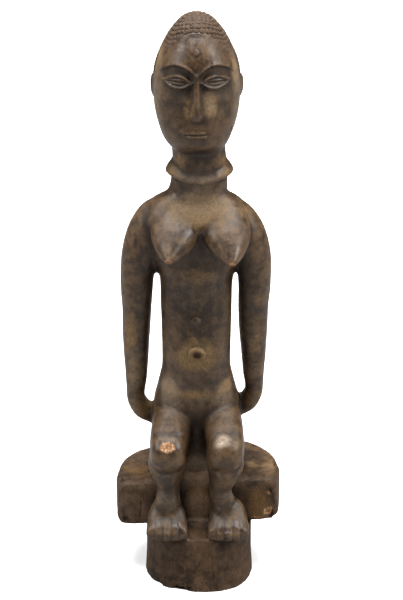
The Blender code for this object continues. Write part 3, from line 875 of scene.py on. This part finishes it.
def carveSurface(mesh):
    points, normals = pointsOf(mesh), normalsOf(mesh)
    height = heightsOf(points)
    onFace = (height > figure["eye"] - face["reachDown"]) & (points[:, 1] < face["front"])
    facing = softStep(0.15, 0.6, -normals[:, 1])
    relief = faceRelief(points[:, 0] - figure["headLean"], height) * facing * onFace

    move = np.zeros(len(points))
    strong = hair["sides"] + (1 - hair["sides"]) * softStep(*hair["sidesTop"], height)
    move += hair["proud"] * strong * hairline(points) * (hairCurls(points) - hair["sunk"])
    carveTrunk(move, points)
    for side in (-1, 1):
        carveLegs(move, points, side)
    carveNavel(move, points)
    carveKnife(move, points)
    jag = noiseAt(points, knife["jag"], 9)
    move -= dentDepth(points, jag) + crackDepth(points, jag)

    points = points + normals * move[:, None]
    points[:, 1] -= relief
    points[:, 2] = np.maximum(points[:, 2], 0)
    movePoints(mesh, points)
    print("surface carved")


# Where the wood is dark, dusty, bare or pale, and where painted shade and painted light lie on it: a
# middle, reach on each side, and strength
darkAndShadePatches = {
    "leftCheek": ((-19, -28, 392), (8, 14, 17), 0.9),
    "rightCheek": ((20, -26, 396), (6, 12, 16), 0.6),
    # under the chin and under the collar: painted shadow
    "belowChin": ((0, -20, 358), (16, 12, 9), 0.7),
    "neckFront": ((0, -20, 342), (12, 8, 15), 0.9),
    "collarUnderLeft": ((-13, -18, 329), (7, 6, 3), 0.9),
    "collarUnderRight": ((15, -18, 330), (7, 6, 3), 0.9),
    "leftArmUpper": ((-44, -6, 284), (15, 18, 26), 0.55),
    # inner sides of the arms: painted shade between the arms and the trunk
    "leftArmInner": ((-38, -6, 250), (9, 20, 34), 0.7),
    "rightArmInner": ((35, -6, 248), (10, 20, 40), 0.85),
    "rightArmOuter": ((48, 0, 262), (10, 16, 30), 0.45),
    # painted shadow under the breasts
    "underBreastLeft": ((-8, -22, 262), (18, 9, 10), 0.6),
    "underBreastRight": ((13, -22, 262), (18, 9, 10), 0.6),
    "upperBelly": ((0, -20, 236), (18, 10, 18), 0.2),
    "waistLeft": ((-24, -14, 230), (7, 12, 26), 0.4),
    "belowNavel": ((6, -21, 172), (8, 8, 8), 0.75),
    "scarUpper": ((-1.5, -22, 221), (4.5, 5, 4.5), 0.9),
    "scarLower": ((-1.5, -22, 211.5), (4.5, 5, 4.5), 0.9),
    "navelPit": ((-1.5, -22, 193.5), (3.8, 5, 3.8), 0.7),
    # painted shade between the thighs
    "betweenThighs": ((-2, -22, 128), (9, 30, 22), 0.75),
    # knee, breast and shoulder tops: painted shade that takes down the overhead lamp's light on them
    "leftKneeTop": ((-24, -38, 137), (15, 12, 9), 1.0),
    "rightKneeTop": ((23, -38, 137), (15, 12, 9), 0.8),
    "leftBreastTop": ((-25, -30, 297), (14, 12, 12), 0.6),
    "rightBreastTop": ((29, -30, 296), (14, 12, 12), 0.55),
    "leftShoulder": ((-41, -6, 297), (14, 18, 18), 0.95),
    "stoolFrontLeft": ((-50, -12, 62), (16, 8, 20), 0.45),
    # painted shade under the stool's overhang
    "stoolBelow": ((0, 20, 42), (70, 60, 5), 0.8),
    "baseLeft": ((-26, -34, 22), (22, 14, 24), 0.2),
    # painted shade that takes the highlight off the base's front edge
    "baseEdge": ((-0.8, -43, 44), (12, 4, 3), 0.7),
    "wristRight": ((43, 10, 158), (9, 14, 16), 0.6),
    "leftEyeBelow": ((-15, -31, 403), (9, 8, 3), 0.7),
    "backHollow": ((-2, 26, 200), (12, 12, 40), 0.5),
}
dustAndLightPatches = {
    "chestTop": ((2, -20, 311), (38, 18, 17), 1.0),
    "breastTopRight": ((26, -30, 292), (16, 14, 10), 0.2),
    "rightShoulder": ((31, -8, 302), (14, 14, 14), 0.8),
    "navelRing": ((-2, -22, 193), (20, 12, 19), 1.0),
    "hipLeft": ((-22, -12, 163), (10, 12, 9), 1.0),
    "hipRight": ((20, -12, 162), (12, 12, 10), 1.0),
    "creases": ((-2, -20, 160), (26, 10, 7), 0.7),
    "leftArmLow": ((-53, 0, 206), (9, 16, 26), 0.85),
    "leftForearm": ((-50, 4, 170), (10, 14, 24), 0.55),
    "rightForearm": ((44, 2, 196), (9, 14, 26), 0.6),
    "rightArmSpot": ((47, -8, 232), (6, 8, 8), 0.7),
    "collarLeft": ((-20, -12, 338), (10, 12, 8), 0.8),
    "collarRight": ((21, -12, 338), (10, 12, 8), 0.8),
    "neckLeft": ((-14, -12, 348), (8, 10, 12), 0.65),
    "neckRight": ((18, -10, 345), (8, 10, 12), 0.6),
    "noseLeft": ((-7, -33, 393), (6, 8, 12), 0.7),
    "noseRight": ((9, -33, 396), (8, 8, 17), 1.0),
    "mouthRound": ((0, -32, 377), (17, 8, 7), 0.55),
    # sides of the head: a painted light band down the temple, hair and head side
    "templeRight": ((27, -10, 418), (7, 16, 24), 0.55),
    "hairLeft": ((-29, -2, 424), (8, 16, 20), 0.7),
    "headSideRight": ((31, 4, 388), (6, 14, 18), 0.6),
    "rightShinTop": ((20, -42, 96), (12, 14, 16), 0.6),
    "leftShin": ((-26, -40, 112), (10, 12, 8), 0.5),
    # painted light in the shaded gap between the shins
    "betweenShinsLit": ((0, -12, 66), (13, 9, 26), 1.0),
    "leftInstep": ((-25, -32, 58), (16, 14, 12), 0.4),
    "rightInstep": ((23, -32, 58), (16, 14, 12), 0.45),
    "baseTop": ((-1, -28, 48), (9, 18, 8), 1.0),
    "stoolFrontRight": ((48, -11, 60), (15, 8, 18), 1.0),
    "stoolTopRight": ((50, 14, 84), (20, 30, 6), 0.5),
    "stoolTopLeft": ((-50, 14, 80), (18, 24, 5), 0.7),
    "baseFront": ((2, -42, 20), (26, 8, 20), 0.4),
    "hands": ((-2, 34, 132), (40, 12, 14), 0.6),
    "leftHand": ((-44, 8, 138), (14, 16, 15), 1.0),
    "rightHand": ((42, 8, 146), (12, 14, 12), 0.5),
    "bellyTop": ((-2, -22, 258), (24, 8, 12), 0.45),
    "seatBehind": ((-2, 52, 84), (44, 20, 8), 0.8),
    "shouldersBehind": ((-2, 26, 306), (40, 12, 12), 0.5),
}
barePatches = {
    "leftKnee": ((-24.2, -46.5, 126.8), (8.0, 6, 5.6), 1.0),
    "leftNipple": ((-23.0, -46, 278), (3.8, 4, 2.6), 1.0),
    "rightNipple": ((25.5, -46, 275.8), (3.6, 4, 3.0), 0.9),
    "leftFootEdge": ((-40.6, -31, 46.5), (2.4, 7, 4.6), 1.0),
    "baseRim": ((-0.8, -43, 1.5), (3.2, 3, 3.4), 1.0),
    "baseRimLeft": ((-15, -41, 3), (5, 4, 2.4), 0.35),
    "stoolCorner": ((55.5, -10.5, 54), (4.6, 5, 6), 0.9),
    "stoolLow": ((47, -11.5, 49), (7, 4, 3), 0.6),
    "stoolNotch": ((56, -10.5, 71), (2.4, 4, 2.6), 0.7),
    "stoolLeftEdge": ((-61, -8, 64), (2.2, 3, 8), 0.45),
    "leftToes": ((-22, -45, 45), (9, 2.5, 2.2), 0.35),
    "rightToes": ((21, -45, 45), (9, 2.5, 2.2), 0.3),
}
paleAndLitPatches = {
    "rightKneeChip": ((18.9, -42, 130.6), (6.0, 7, 4.6), 0.9),
    "rightKneeChipLow": ((15.8, -45.5, 128), (3.2, 5, 3.2), 0.9),
    # upper chest: pale wood with painted light on its top; sides of the head: a painted light band
    "chestTop": ((2, -18, 316), (34, 14, 11), 0.28),
    "headLeft": ((-29, -8, 400), (9, 14, 32), 0.28),
    "headRight": ((28, -6, 400), (9, 14, 34), 0.28),
    "stoolFrontLeft": ((-50, -12, 60), (16, 8, 18), 0.12),
    "noseRight": ((9, -33, 396), (6, 8, 15), 0.2),
    "leftHip": ((-22, -12, 163), (13, 12, 11), 0.48),
    "rightHip": ((20, -12, 162), (12, 12, 9), 0.18),
    # at the neck's foot and between the shins and feet: painted light where shade falls; on the thighs: a
    # painted sheen
    "neckLow": ((0, -18, 333), (16, 8, 7), 0.3),
    "leftThigh": ((-24, -20, 152), (13, 13, 11), 0.32),
    "rightThigh": ((22, -20, 152), (13, 13, 11), 0.3),
    "betweenShinsLit": ((0, 0, 86), (14, 24, 14), 0.75),
    "baseTop": ((-1, -25, 46), (9, 14, 8), 0.2),
    "betweenFeet": ((0, -13, 58), (10, 14, 20), 1.0),
    "leftAnkle": ((-25, -24, 76), (11, 10, 11), 0.5),
    "rightAnkle": ((19, -22, 78), (11, 10, 11), 0.7),
    "leftForearm": ((-50, 4, 176), (8, 12, 22), 0.22),
    "leftHand": ((-44, 8, 138), (12, 14, 12), 0.12),
}


def patchStrength(points, patches, hardness):
    strength = np.zeros(len(points))
    for middle, reach, strong in patches.values():
        away = shareAway(points, middle, reach)
        strength = np.maximum(strength, strong * (1 - softStep(hardness, 1.25, away)))
    return strength


def hollowness(mesh, points, normals, rounds):
    # how far the surface lies under its surroundings
    ends = np.empty(len(mesh.edges) * 2, dtype=np.int32)
    mesh.edges.foreach_get("vertices", ends)
    a, b = ends[0::2], ends[1::2]
    count = len(points)
    degree = np.bincount(a, minlength=count) + np.bincount(b, minlength=count)
    soft = points.copy()
    for _ in range(rounds):
        total = np.empty_like(soft)
        for axis in range(3):
            values = soft[:, axis]
            total[:, axis] = (
                np.bincount(a, weights=values[b], minlength=count)
                + np.bincount(b, weights=values[a], minlength=count)
            )
        soft = 0.5 * soft + 0.5 * total / degree[:, None]
    return ((soft - points) * normals).sum(axis=1)


# Settings for the painted masks: grime, wear, painted light and painted shade
ages = {
    "nearRounds": 6, "wideRounds": 40, "softEdge": 0.1, "crispEdge": 0.3,
    "nearHollow": 0.16, "nearRidge": 0.14, "wideDeep": 0.9,  # depths that count in full
    "paleLiftsHollow": 2.4, "mostHollowLifted": 0.9,
}


def paintWearLightAndShade(mesh):
    points, normals = pointsOf(mesh), normalsOf(mesh)
    near = hollowness(mesh, points, normals, ages["nearRounds"])
    wide = hollowness(mesh, points, normals, ages["wideRounds"]) / ages["wideDeep"]
    paleAndLit = patchStrength(points, paleAndLitPatches, ages["crispEdge"])
    # where the pale patches lie, the hollows' darkening is lifted
    hollowKept = 1 - np.clip(ages["paleLiftsHollow"] * paleAndLit, 0, ages["mostHollowLifted"])
    # near hollows hold grime; the wide hollows add painted shade between the limbs and under the breasts
    # and chin
    hollowGrimeAndShade = np.clip(near / ages["nearHollow"], 0, 1) * 0.6 + np.clip(wide, 0, 1) * 0.6
    masks = {
        "hollowGrimeAndShade": hollowGrimeAndShade * hollowKept,
        "ridge": np.clip(-near / ages["nearRidge"], 0, 1) * 0.6 + np.clip(-wide, 0, 1) * 0.5,
        "dark": patchStrength(points, darkAndShadePatches, ages["softEdge"]),
        "dustAndLight": patchStrength(points, dustAndLightPatches, ages["softEdge"]),
        "bare": patchStrength(points, barePatches, ages["crispEdge"]),
        "paleAndLit": paleAndLit,
        "hair": hairline(points),
    }
    for name, mask in masks.items():
        layer = mesh.attributes.new(name, "FLOAT", "POINT")
        layer.data.foreach_set("value", np.clip(mask, 0, 1).astype(np.float32))
    print("ages painted")


# Wood

def newGroup(name, inputs, outputs):
    # an input with no value is a vector, and the rest are numbers
    group = bpy.data.node_groups.new(name, "ShaderNodeTree")
    for label, value in inputs.items():
        kind = "NodeSocketVector" if value is None else "NodeSocketFloat"
        socket = group.interface.new_socket(name=label, in_out="INPUT", socket_type=kind)
        if value is not None:
            socket.default_value = value
    for label in outputs:
        group.interface.new_socket(name=label, in_out="OUTPUT", socket_type="NodeSocketFloat")
    given = group.nodes.new("NodeGroupInput").outputs
    put = group.nodes.new("NodeGroupOutput").inputs
    return group, given, put


def addNode(tree, kind, **settings):
    node = tree.nodes.new(kind)
    for key, value in settings.items():
        setattr(node, key, value)
    return node


def plug(tree, source, target):
    if isinstance(source, (int, float, tuple)):
        target.default_value = source
    else:
        tree.links.new(source, target)


def calc(tree, operation, a, b):
    node = addNode(tree, "ShaderNodeMath", operation=operation)
    plug(tree, a, node.inputs[0])
    plug(tree, b, node.inputs[1])
    return node.outputs[0]


def times(tree, a, b):
    return calc(tree, "MULTIPLY", a, b)


def plus(tree, a, b):
    return calc(tree, "ADD", a, b)


def blend(tree, share, first, second, mode="MIX"):
    node = addNode(tree, "ShaderNodeMix", data_type="RGBA", blend_type=mode)
    plug(tree, share, node.inputs["Factor"])
    plug(tree, first, node.inputs[6])
    plug(tree, second, node.inputs[7])
    return node.outputs[2]


def spread(tree, value, low, high, toLow=0.0, toHigh=1.0):
    node = addNode(tree, "ShaderNodeMapRange", interpolation_type="SMOOTHSTEP")
    plug(tree, value, node.inputs["Value"])
    plug(tree, low, node.inputs["From Min"])
    plug(tree, high, node.inputs["From Max"])
    plug(tree, toLow, node.inputs["To Min"])
    plug(tree, toHigh, node.inputs["To Max"])
    return node.outputs["Result"]


def cloud(tree, vector, scale, detail, roughness, distortion=0.0):
    node = addNode(tree, "ShaderNodeTexNoise")
    plug(tree, vector, node.inputs["Vector"])
    plug(tree, scale, node.inputs["Scale"])
    node.inputs["Detail"].default_value = detail
    node.inputs["Roughness"].default_value = roughness
    node.inputs["Distortion"].default_value = distortion
    return node.outputs["Fac"]


def stretched(tree, vector, scale):
    node = addNode(tree, "ShaderNodeVectorMath", operation="MULTIPLY")
    plug(tree, vector, node.inputs[0])
    node.inputs[1].default_value = scale
    return node.outputs[0]


def grainGroup():
    # fibres that run up the log
    inputs = {"Vector": None, "Fineness": 900.0, "Wander": 0.4}
    group, given, put = newGroup("Wood grain", inputs, ("Fibres", "Pores"))
    along = stretched(group, given["Vector"], (1, 1, 0.06))
    fibres = cloud(group, along, given["Fineness"], 3.0, 0.6, 0.3)
    bands = cloud(group, along, times(group, given["Fineness"], 0.22), 2.0, 0.5, 0.8)
    plug(group, plus(group, times(group, fibres, 0.6), times(group, bands, given["Wander"])), put["Fibres"])
    short = stretched(group, given["Vector"], (1, 1, 0.15))
    pores = cloud(group, short, times(group, given["Fineness"], 2.2), 2.0, 0.5)
    plug(group, spread(group, pores, 0.60, 0.70), put["Pores"])
    return group


def patchyGroup():
    # breaks a soft painted mask into ragged patches
    inputs = {"Vector": None, "Mask": 0.0, "Size": 120.0, "Softness": 0.2}
    group, given, put = newGroup("Ragged patches", inputs, ("Cover",))
    patches = cloud(group, given["Vector"], given["Size"], 6.0, 0.65, 0.4)
    ragged = plus(group, given["Mask"], times(group, calc(group, "SUBTRACT", patches, 0.5), 1.5))
    low = calc(group, "SUBTRACT", 0.5, given["Softness"])
    high = plus(group, 0.5, given["Softness"])
    cover = spread(group, ragged, low, high)
    plug(group, times(group, cover, spread(group, given["Mask"], 0.0, 0.12)), put["Cover"])
    return group


def scratchGroup():
    # fine light scratches, mostly level
    inputs = {"Vector": None, "Amount": 0.5}
    group, given, put = newGroup("Handling scratches", inputs, ("Scratches",))
    total = None
    for turn, scale in ((0.15, 260.0), (-0.5, 200.0), (1.2, 230.0)):
        rotate = addNode(group, "ShaderNodeVectorRotate", rotation_type="Y_AXIS")
        plug(group, given["Vector"], rotate.inputs["Vector"])
        rotate.inputs["Angle"].default_value = turn
        lines = cloud(group, stretched(group, rotate.outputs["Vector"], (0.06, 0.5, 5)), scale, 2.0, 0.5)
        thinLines = spread(group, lines, 0.665, 0.72)
        total = thinLines if total is None else calc(group, "MAXIMUM", total, thinLines)
    broken = cloud(group, given["Vector"], 60.0, 2.0, 0.5)
    amount = times(group, given["Amount"], spread(group, broken, 0.5, 0.62))
    plug(group, times(group, total, amount), put["Scratches"])
    return group


def useGroup(tree, group, **inputs):
    node = addNode(tree, "ShaderNodeGroup", node_tree=group)
    for label, value in inputs.items():
        plug(tree, value, node.inputs[label])
    return node


woods = {
    "figureWood": {
        "deep": (0.023, 0.012, 0.006, 1), "mid": (0.072, 0.040, 0.018, 1),
        "worn": (0.152, 0.089, 0.043, 1), "dustAndLight": (0.240, 0.145, 0.058, 1),
        "bare": (0.34, 0.16, 0.065, 1), "paleAndLit": (0.43, 0.33, 0.235, 1),
        "gloss": 0.5, "fineness": 900.0, "wear": 0.75, "polish": 0.32, "matt": 0.60, "grain": 0.10,
    },
    "blockWood": {
        "deep": (0.022, 0.013, 0.008, 1), "mid": (0.084, 0.050, 0.028, 1),
        "worn": (0.150, 0.090, 0.050, 1), "dustAndLight": (0.175, 0.098, 0.038, 1),
        "bare": (0.36, 0.17, 0.065, 1), "paleAndLit": (0.50, 0.34, 0.22, 1),
        "gloss": 0.22, "fineness": 700.0, "wear": 0.3, "polish": 0.52, "matt": 0.74, "grain": 0.22,
    },
}
# What both woods share
finish = {
    "hair": (0.078, 0.042, 0.018, 1), "barePale": (0.50, 0.31, 0.18, 1),
    "textures": {  # scale, detail, roughness and distortion
        "clouds": (38.0, 5.0, 0.6, 0.5), "mottle": (150.0, 5.0, 0.6), "specks": (620.0, 3.0, 0.6),
    },
    "ragged": {
        "dark": {"Size": 70.0, "Softness": 0.42},
        "dustAndLight": {"Size": 110.0, "Softness": 0.35},
        "bare": {"Size": 420.0, "Softness": 0.12},
    },
    "darkAndShadeShare": 0.82, "dustAndLightShare": 0.84, "poreShare": 0.5, "scratchShare": 0.55, "scratches": 0.55,
    "dull": {"dustAndLightCover": 0.8, "hollowGrimeAndShade": 0.7, "dark": 0.9, "hair": 1.3},
    "relief": {"mottle": 0.25, "pores": -0.10, "scratches": -0.10, "specks": 0.06, "bareCover": -0.25},
    "bumpStrength": 0.75, "bumpDistance": 0.0009,
}


def surfaceMarks(tree, look, groups):
    # the painted masks, the textures, and the masks broken up by them
    where = addNode(tree, "ShaderNodeTexCoord").outputs["Object"]
    marks = {}
    for label in ("hollowGrimeAndShade", "ridge", "dark", "dustAndLight", "bare", "paleAndLit", "hair"):
        marks[label] = addNode(tree, "ShaderNodeAttribute", attribute_name=label).outputs["Fac"]
    grain = useGroup(tree, groups["grain"], Vector=where, Fineness=look["fineness"])
    marks["fibres"], marks["pores"] = grain.outputs["Fibres"], grain.outputs["Pores"]
    for label, texture in finish["textures"].items():
        marks[label] = cloud(tree, where, *texture)
    for label, settings in finish["ragged"].items():
        cover = useGroup(tree, groups["patchy"], Vector=where, Mask=marks[label], **settings)
        marks[label + "Cover"] = cover.outputs["Cover"]
    scratch = useGroup(tree, groups["scratch"], Vector=where, Amount=finish["scratches"])
    marks["scratches"] = scratch.outputs["Scratches"]
    return marks


def woodColour(tree, look, marks):
    mottle, specks = marks["mottle"], marks["specks"]
    # patina in clouds, worn through in spots and darker along the fibres
    colour = blend(tree, spread(tree, marks["clouds"], 0.36, 0.66), look["deep"], look["mid"])
    colour = blend(tree, spread(tree, mottle, 0.42, 0.68, 0.0, 0.55), colour, look["worn"])
    colour = blend(tree, spread(tree, marks["fibres"], 0.30, 0.66, 0.35, 0.0), colour, look["deep"])
    # dark patches: dark patina in places, painted shade in others (under the chin, collar, breasts and
    # stool, between the limbs, and on tops lit from above)
    colour = blend(tree, times(tree, marks["darkCover"], finish["darkAndShadeShare"]), colour, look["deep"])
    wear = times(tree, marks["ridge"], spread(tree, mottle, 0.35, 0.6, 0.15, 0.9))
    colour = blend(tree, times(tree, wear, look["wear"]), colour, look["worn"])
    hairCover = times(tree, marks["hair"], spread(tree, mottle, 0.3, 0.55, 0.35, 0.95))
    colour = blend(tree, hairCover, colour, finish["hair"])
    # what lies on it: dust, in a few places painted light; then grime and painted shade in the hollows, and
    # grime in the pores
    colour = blend(tree, times(tree, marks["dustAndLightCover"], finish["dustAndLightShare"]), colour, look["dustAndLight"])
    grimeAndShade = times(tree, marks["hollowGrimeAndShade"], spread(tree, mottle, 0.3, 0.6, 0.95, 0.6))
    colour = blend(tree, grimeAndShade, colour, look["deep"])
    colour = blend(tree, times(tree, marks["pores"], finish["poreShare"]), colour, look["deep"])
    # where it is chipped, rubbed or scratched; the pale patches also paint light where shade falls and a
    # sheen on the thighs
    bareTone = blend(tree, spread(tree, specks, 0.45, 0.62), look["bare"], finish["barePale"])
    colour = blend(tree, marks["bareCover"], colour, bareTone)
    rubbedAndLit = times(tree, marks["paleAndLit"], spread(tree, mottle, 0.3, 0.6, 0.6, 1.0))
    colour = blend(tree, rubbedAndLit, colour, look["paleAndLit"])
    colour = blend(tree, times(tree, marks["scratches"], finish["scratchShare"]), colour, look["worn"])
    tint = spread(tree, specks, 0.35, 0.65, 0.78, 1.18)
    shade = addNode(tree, "ShaderNodeCombineColor")
    for channel in ("Red", "Green", "Blue"):
        plug(tree, tint, shade.inputs[channel])
    return blend(tree, 1.0, colour, shade.outputs["Color"], "MULTIPLY")


def woodRoughness(tree, look, marks):
    rough = spread(tree, marks["clouds"], 0.35, 0.65, look["polish"], look["polish"] + 0.14)
    dull = marks["bareCover"]
    for label, share in finish["dull"].items():
        dull = calc(tree, "MAXIMUM", dull, times(tree, marks[label], share))
    rough = plus(tree, rough, times(tree, dull, look["matt"] - look["polish"]))
    return plus(tree, rough, spread(tree, marks["specks"], 0.3, 0.7, -0.06, 0.10))


def woodRelief(tree, look, marks):
    relief = times(tree, marks["fibres"], look["grain"])
    for label, height in finish["relief"].items():
        relief = plus(tree, relief, times(tree, marks[label], height))
    return relief


def oldWood(name, groups):
    look = woods[name]
    material = bpy.data.materials.new(name)
    material.use_nodes = True
    tree = material.node_tree
    shader = tree.nodes["Principled BSDF"]
    marks = surfaceMarks(tree, look, groups)
    plug(tree, woodColour(tree, look, marks), shader.inputs["Base Color"])
    plug(tree, woodRoughness(tree, look, marks), shader.inputs["Roughness"])
    shader.inputs["Specular IOR Level"].default_value = look["gloss"]
    bump = addNode(tree, "ShaderNodeBump")
    bump.inputs["Strength"].default_value = finish["bumpStrength"]
    bump.inputs["Distance"].default_value = finish["bumpDistance"]
    plug(tree, woodRelief(tree, look, marks), bump.inputs["Height"])
    plug(tree, bump.outputs["Normal"], shader.inputs["Normal"])
    return material


# How far the blocks' wood reaches past their own faces
reaches = {
    "betweenFeetMiddle": -0.8, "betweenFeetHalf": 7.5, "betweenFeetHigh": 14,
    "belowBaseTop": 0.3, "aboveSeat": 2.2, "aheadOfFlat": 1.5,
}


def onBlocks(places):
    # the base, the stool, and what stands between the feet
    x, y, z = places.T
    between = np.abs(x - reaches["betweenFeetMiddle"]) < reaches["betweenFeetHalf"]
    between &= z < log["baseHeight"] + reaches["betweenFeetHigh"]
    ofBase = z < log["baseHeight"] - reaches["belowBaseTop"]
    ofStool = (z < log["seat"] + reaches["aboveSeat"]) & (y > log["flatFront"] - reaches["aheadOfFlat"])
    return between | ofBase | ofStool


def seatedFigure():
    mesh = carveForms()
    refineWhere(mesh, needsFineCarving)
    carveSurface(mesh)
    mesh = thin(mesh, log["mostTriangles"])
    paintWearLightAndShade(mesh)
    groups = {"grain": grainGroup(), "patchy": patchyGroup(), "scratch": scratchGroup()}
    mesh.materials.clear()
    for name in woods:
        mesh.materials.append(oldWood(name, groups))
    points = pointsOf(mesh)
    first = np.array([polygon.vertices[0] for polygon in mesh.polygons])
    mesh.polygons.foreach_set("material_index", onBlocks(points[first]).astype(np.int32))
    scale = (cadHigh.z - cadLow.z) / log["drawnHeight"]
    movePoints(mesh, points * scale)
    mesh.shade_smooth()
    print("seated figure:", len(mesh.polygons), "faces")
    return newObject("seatedFigure", mesh)


piece = seatedFigure()
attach(piece, "root")
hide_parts("statuette")


# Floor, light and camera

studio = {
    "floorRadius": 6.0, "floorSeen": (0.92, 0.92, 0.92, 1), "floorBounce": (0.30, 0.29, 0.28, 1),
    "glowNear": 0.5, "glowFar": 1.0, "nearEdge": 0.3, "farEdge": 1.5, "skyTop": 0.11, "skyLow": 0.04,
    "frontShade": 0.40,
    "cameraPlace": (0.00205, -1.444, 0.761), "lookDown": 20.15, "lensPixels": 1976, "longSide": 600,
    "filmWidth": 36,
}
lamps = {
    "overhead": {"place": (0.0, 0.1, 2.4), "size": 1.8, "power": 125, "aim": (0, 0, 0.2)},
    "leftSoft": {"place": (-1.9, -0.5, 1.5), "size": 1.0, "power": 26, "aim": (0, 0, 0.25)},
    "rightSoft": {"place": (1.9, -0.6, 1.5), "size": 1.0, "power": 38, "aim": (0, 0, 0.25)},
}


def plainFloor():
    mesh = bpy.data.meshes.new("floor")
    sheet = bmesh.new()
    bmesh.ops.create_circle(sheet, cap_ends=True, radius=studio["floorRadius"], segments=96)
    sheet.to_mesh(mesh)
    sheet.free()
    paint = bpy.data.materials.new("paleFloor")
    paint.use_nodes = True
    tree = paint.node_tree
    shader = tree.nodes["Principled BSDF"]
    seen = addNode(tree, "ShaderNodeLightPath").outputs["Is Camera Ray"]
    plug(tree, blend(tree, seen, studio["floorBounce"], studio["floorSeen"]), shader.inputs["Base Color"])
    reach = addNode(tree, "ShaderNodeVectorMath", operation="LENGTH")
    plug(tree, addNode(tree, "ShaderNodeTexCoord").outputs["Object"], reach.inputs[0])
    away = reach.outputs["Value"]
    glow = spread(tree, away, studio["nearEdge"], studio["farEdge"], studio["glowNear"], studio["glowFar"])
    plug(tree, calc(tree, "MULTIPLY", seen, glow), shader.inputs["Emission Strength"])
    shader.inputs["Emission Color"].default_value = (1, 1, 1, 1)
    shader.inputs["Roughness"].default_value = 0.9
    mesh.materials.append(paint)
    floor = newObject("floor", mesh)


def studioLight():
    world = bpy.data.worlds.new("studio")
    world.use_nodes = True
    # white to the camera; for the light it is bright above and behind, dim low in front
    tree = world.node_tree
    sky = tree.nodes["Background"]
    sky.inputs["Color"].default_value = (1, 1, 1, 1)
    toward = addNode(tree, "ShaderNodeSeparateXYZ")
    plug(tree, addNode(tree, "ShaderNodeTexCoord").outputs["Generated"], toward.inputs[0])
    level = spread(tree, toward.outputs["Z"], -0.1, 0.9, studio["skyLow"], studio["skyTop"])
    front = spread(tree, toward.outputs["Y"], -0.8, 0.3, studio["frontShade"], 1.0)
    seen = addNode(tree, "ShaderNodeLightPath").outputs["Is Camera Ray"]
    plug(tree, calc(tree, "MAXIMUM", calc(tree, "MULTIPLY", level, front), seen), sky.inputs["Strength"])
    bpy.context.scene.world = world
    for name, lamp in lamps.items():
        light = bpy.data.lights.new(name, "AREA")
        light.energy = lamp["power"]
        light.size = lamp["size"]
        holder = newObject(name, light)
        holder.location = lamp["place"]
        holder.rotation_euler = (Vector(lamp["aim"]) - holder.location).to_track_quat("-Z", "Y").to_euler()


def photoCamera():
    lens = bpy.data.cameras.new("camera")
    lens.sensor_width = studio["filmWidth"]
    lens.lens = studio["filmWidth"] * studio["lensPixels"] / studio["longSide"]
    camera = newObject("camera", lens)
    camera.location = studio["cameraPlace"]
    camera.rotation_euler = (math.radians(90 - studio["lookDown"]), 0, 0)
    bpy.context.scene.camera = camera


plainFloor()
studioLight()
photoCamera()
bpy.context.scene.view_settings.view_transform = "Standard"
print("studio ready")
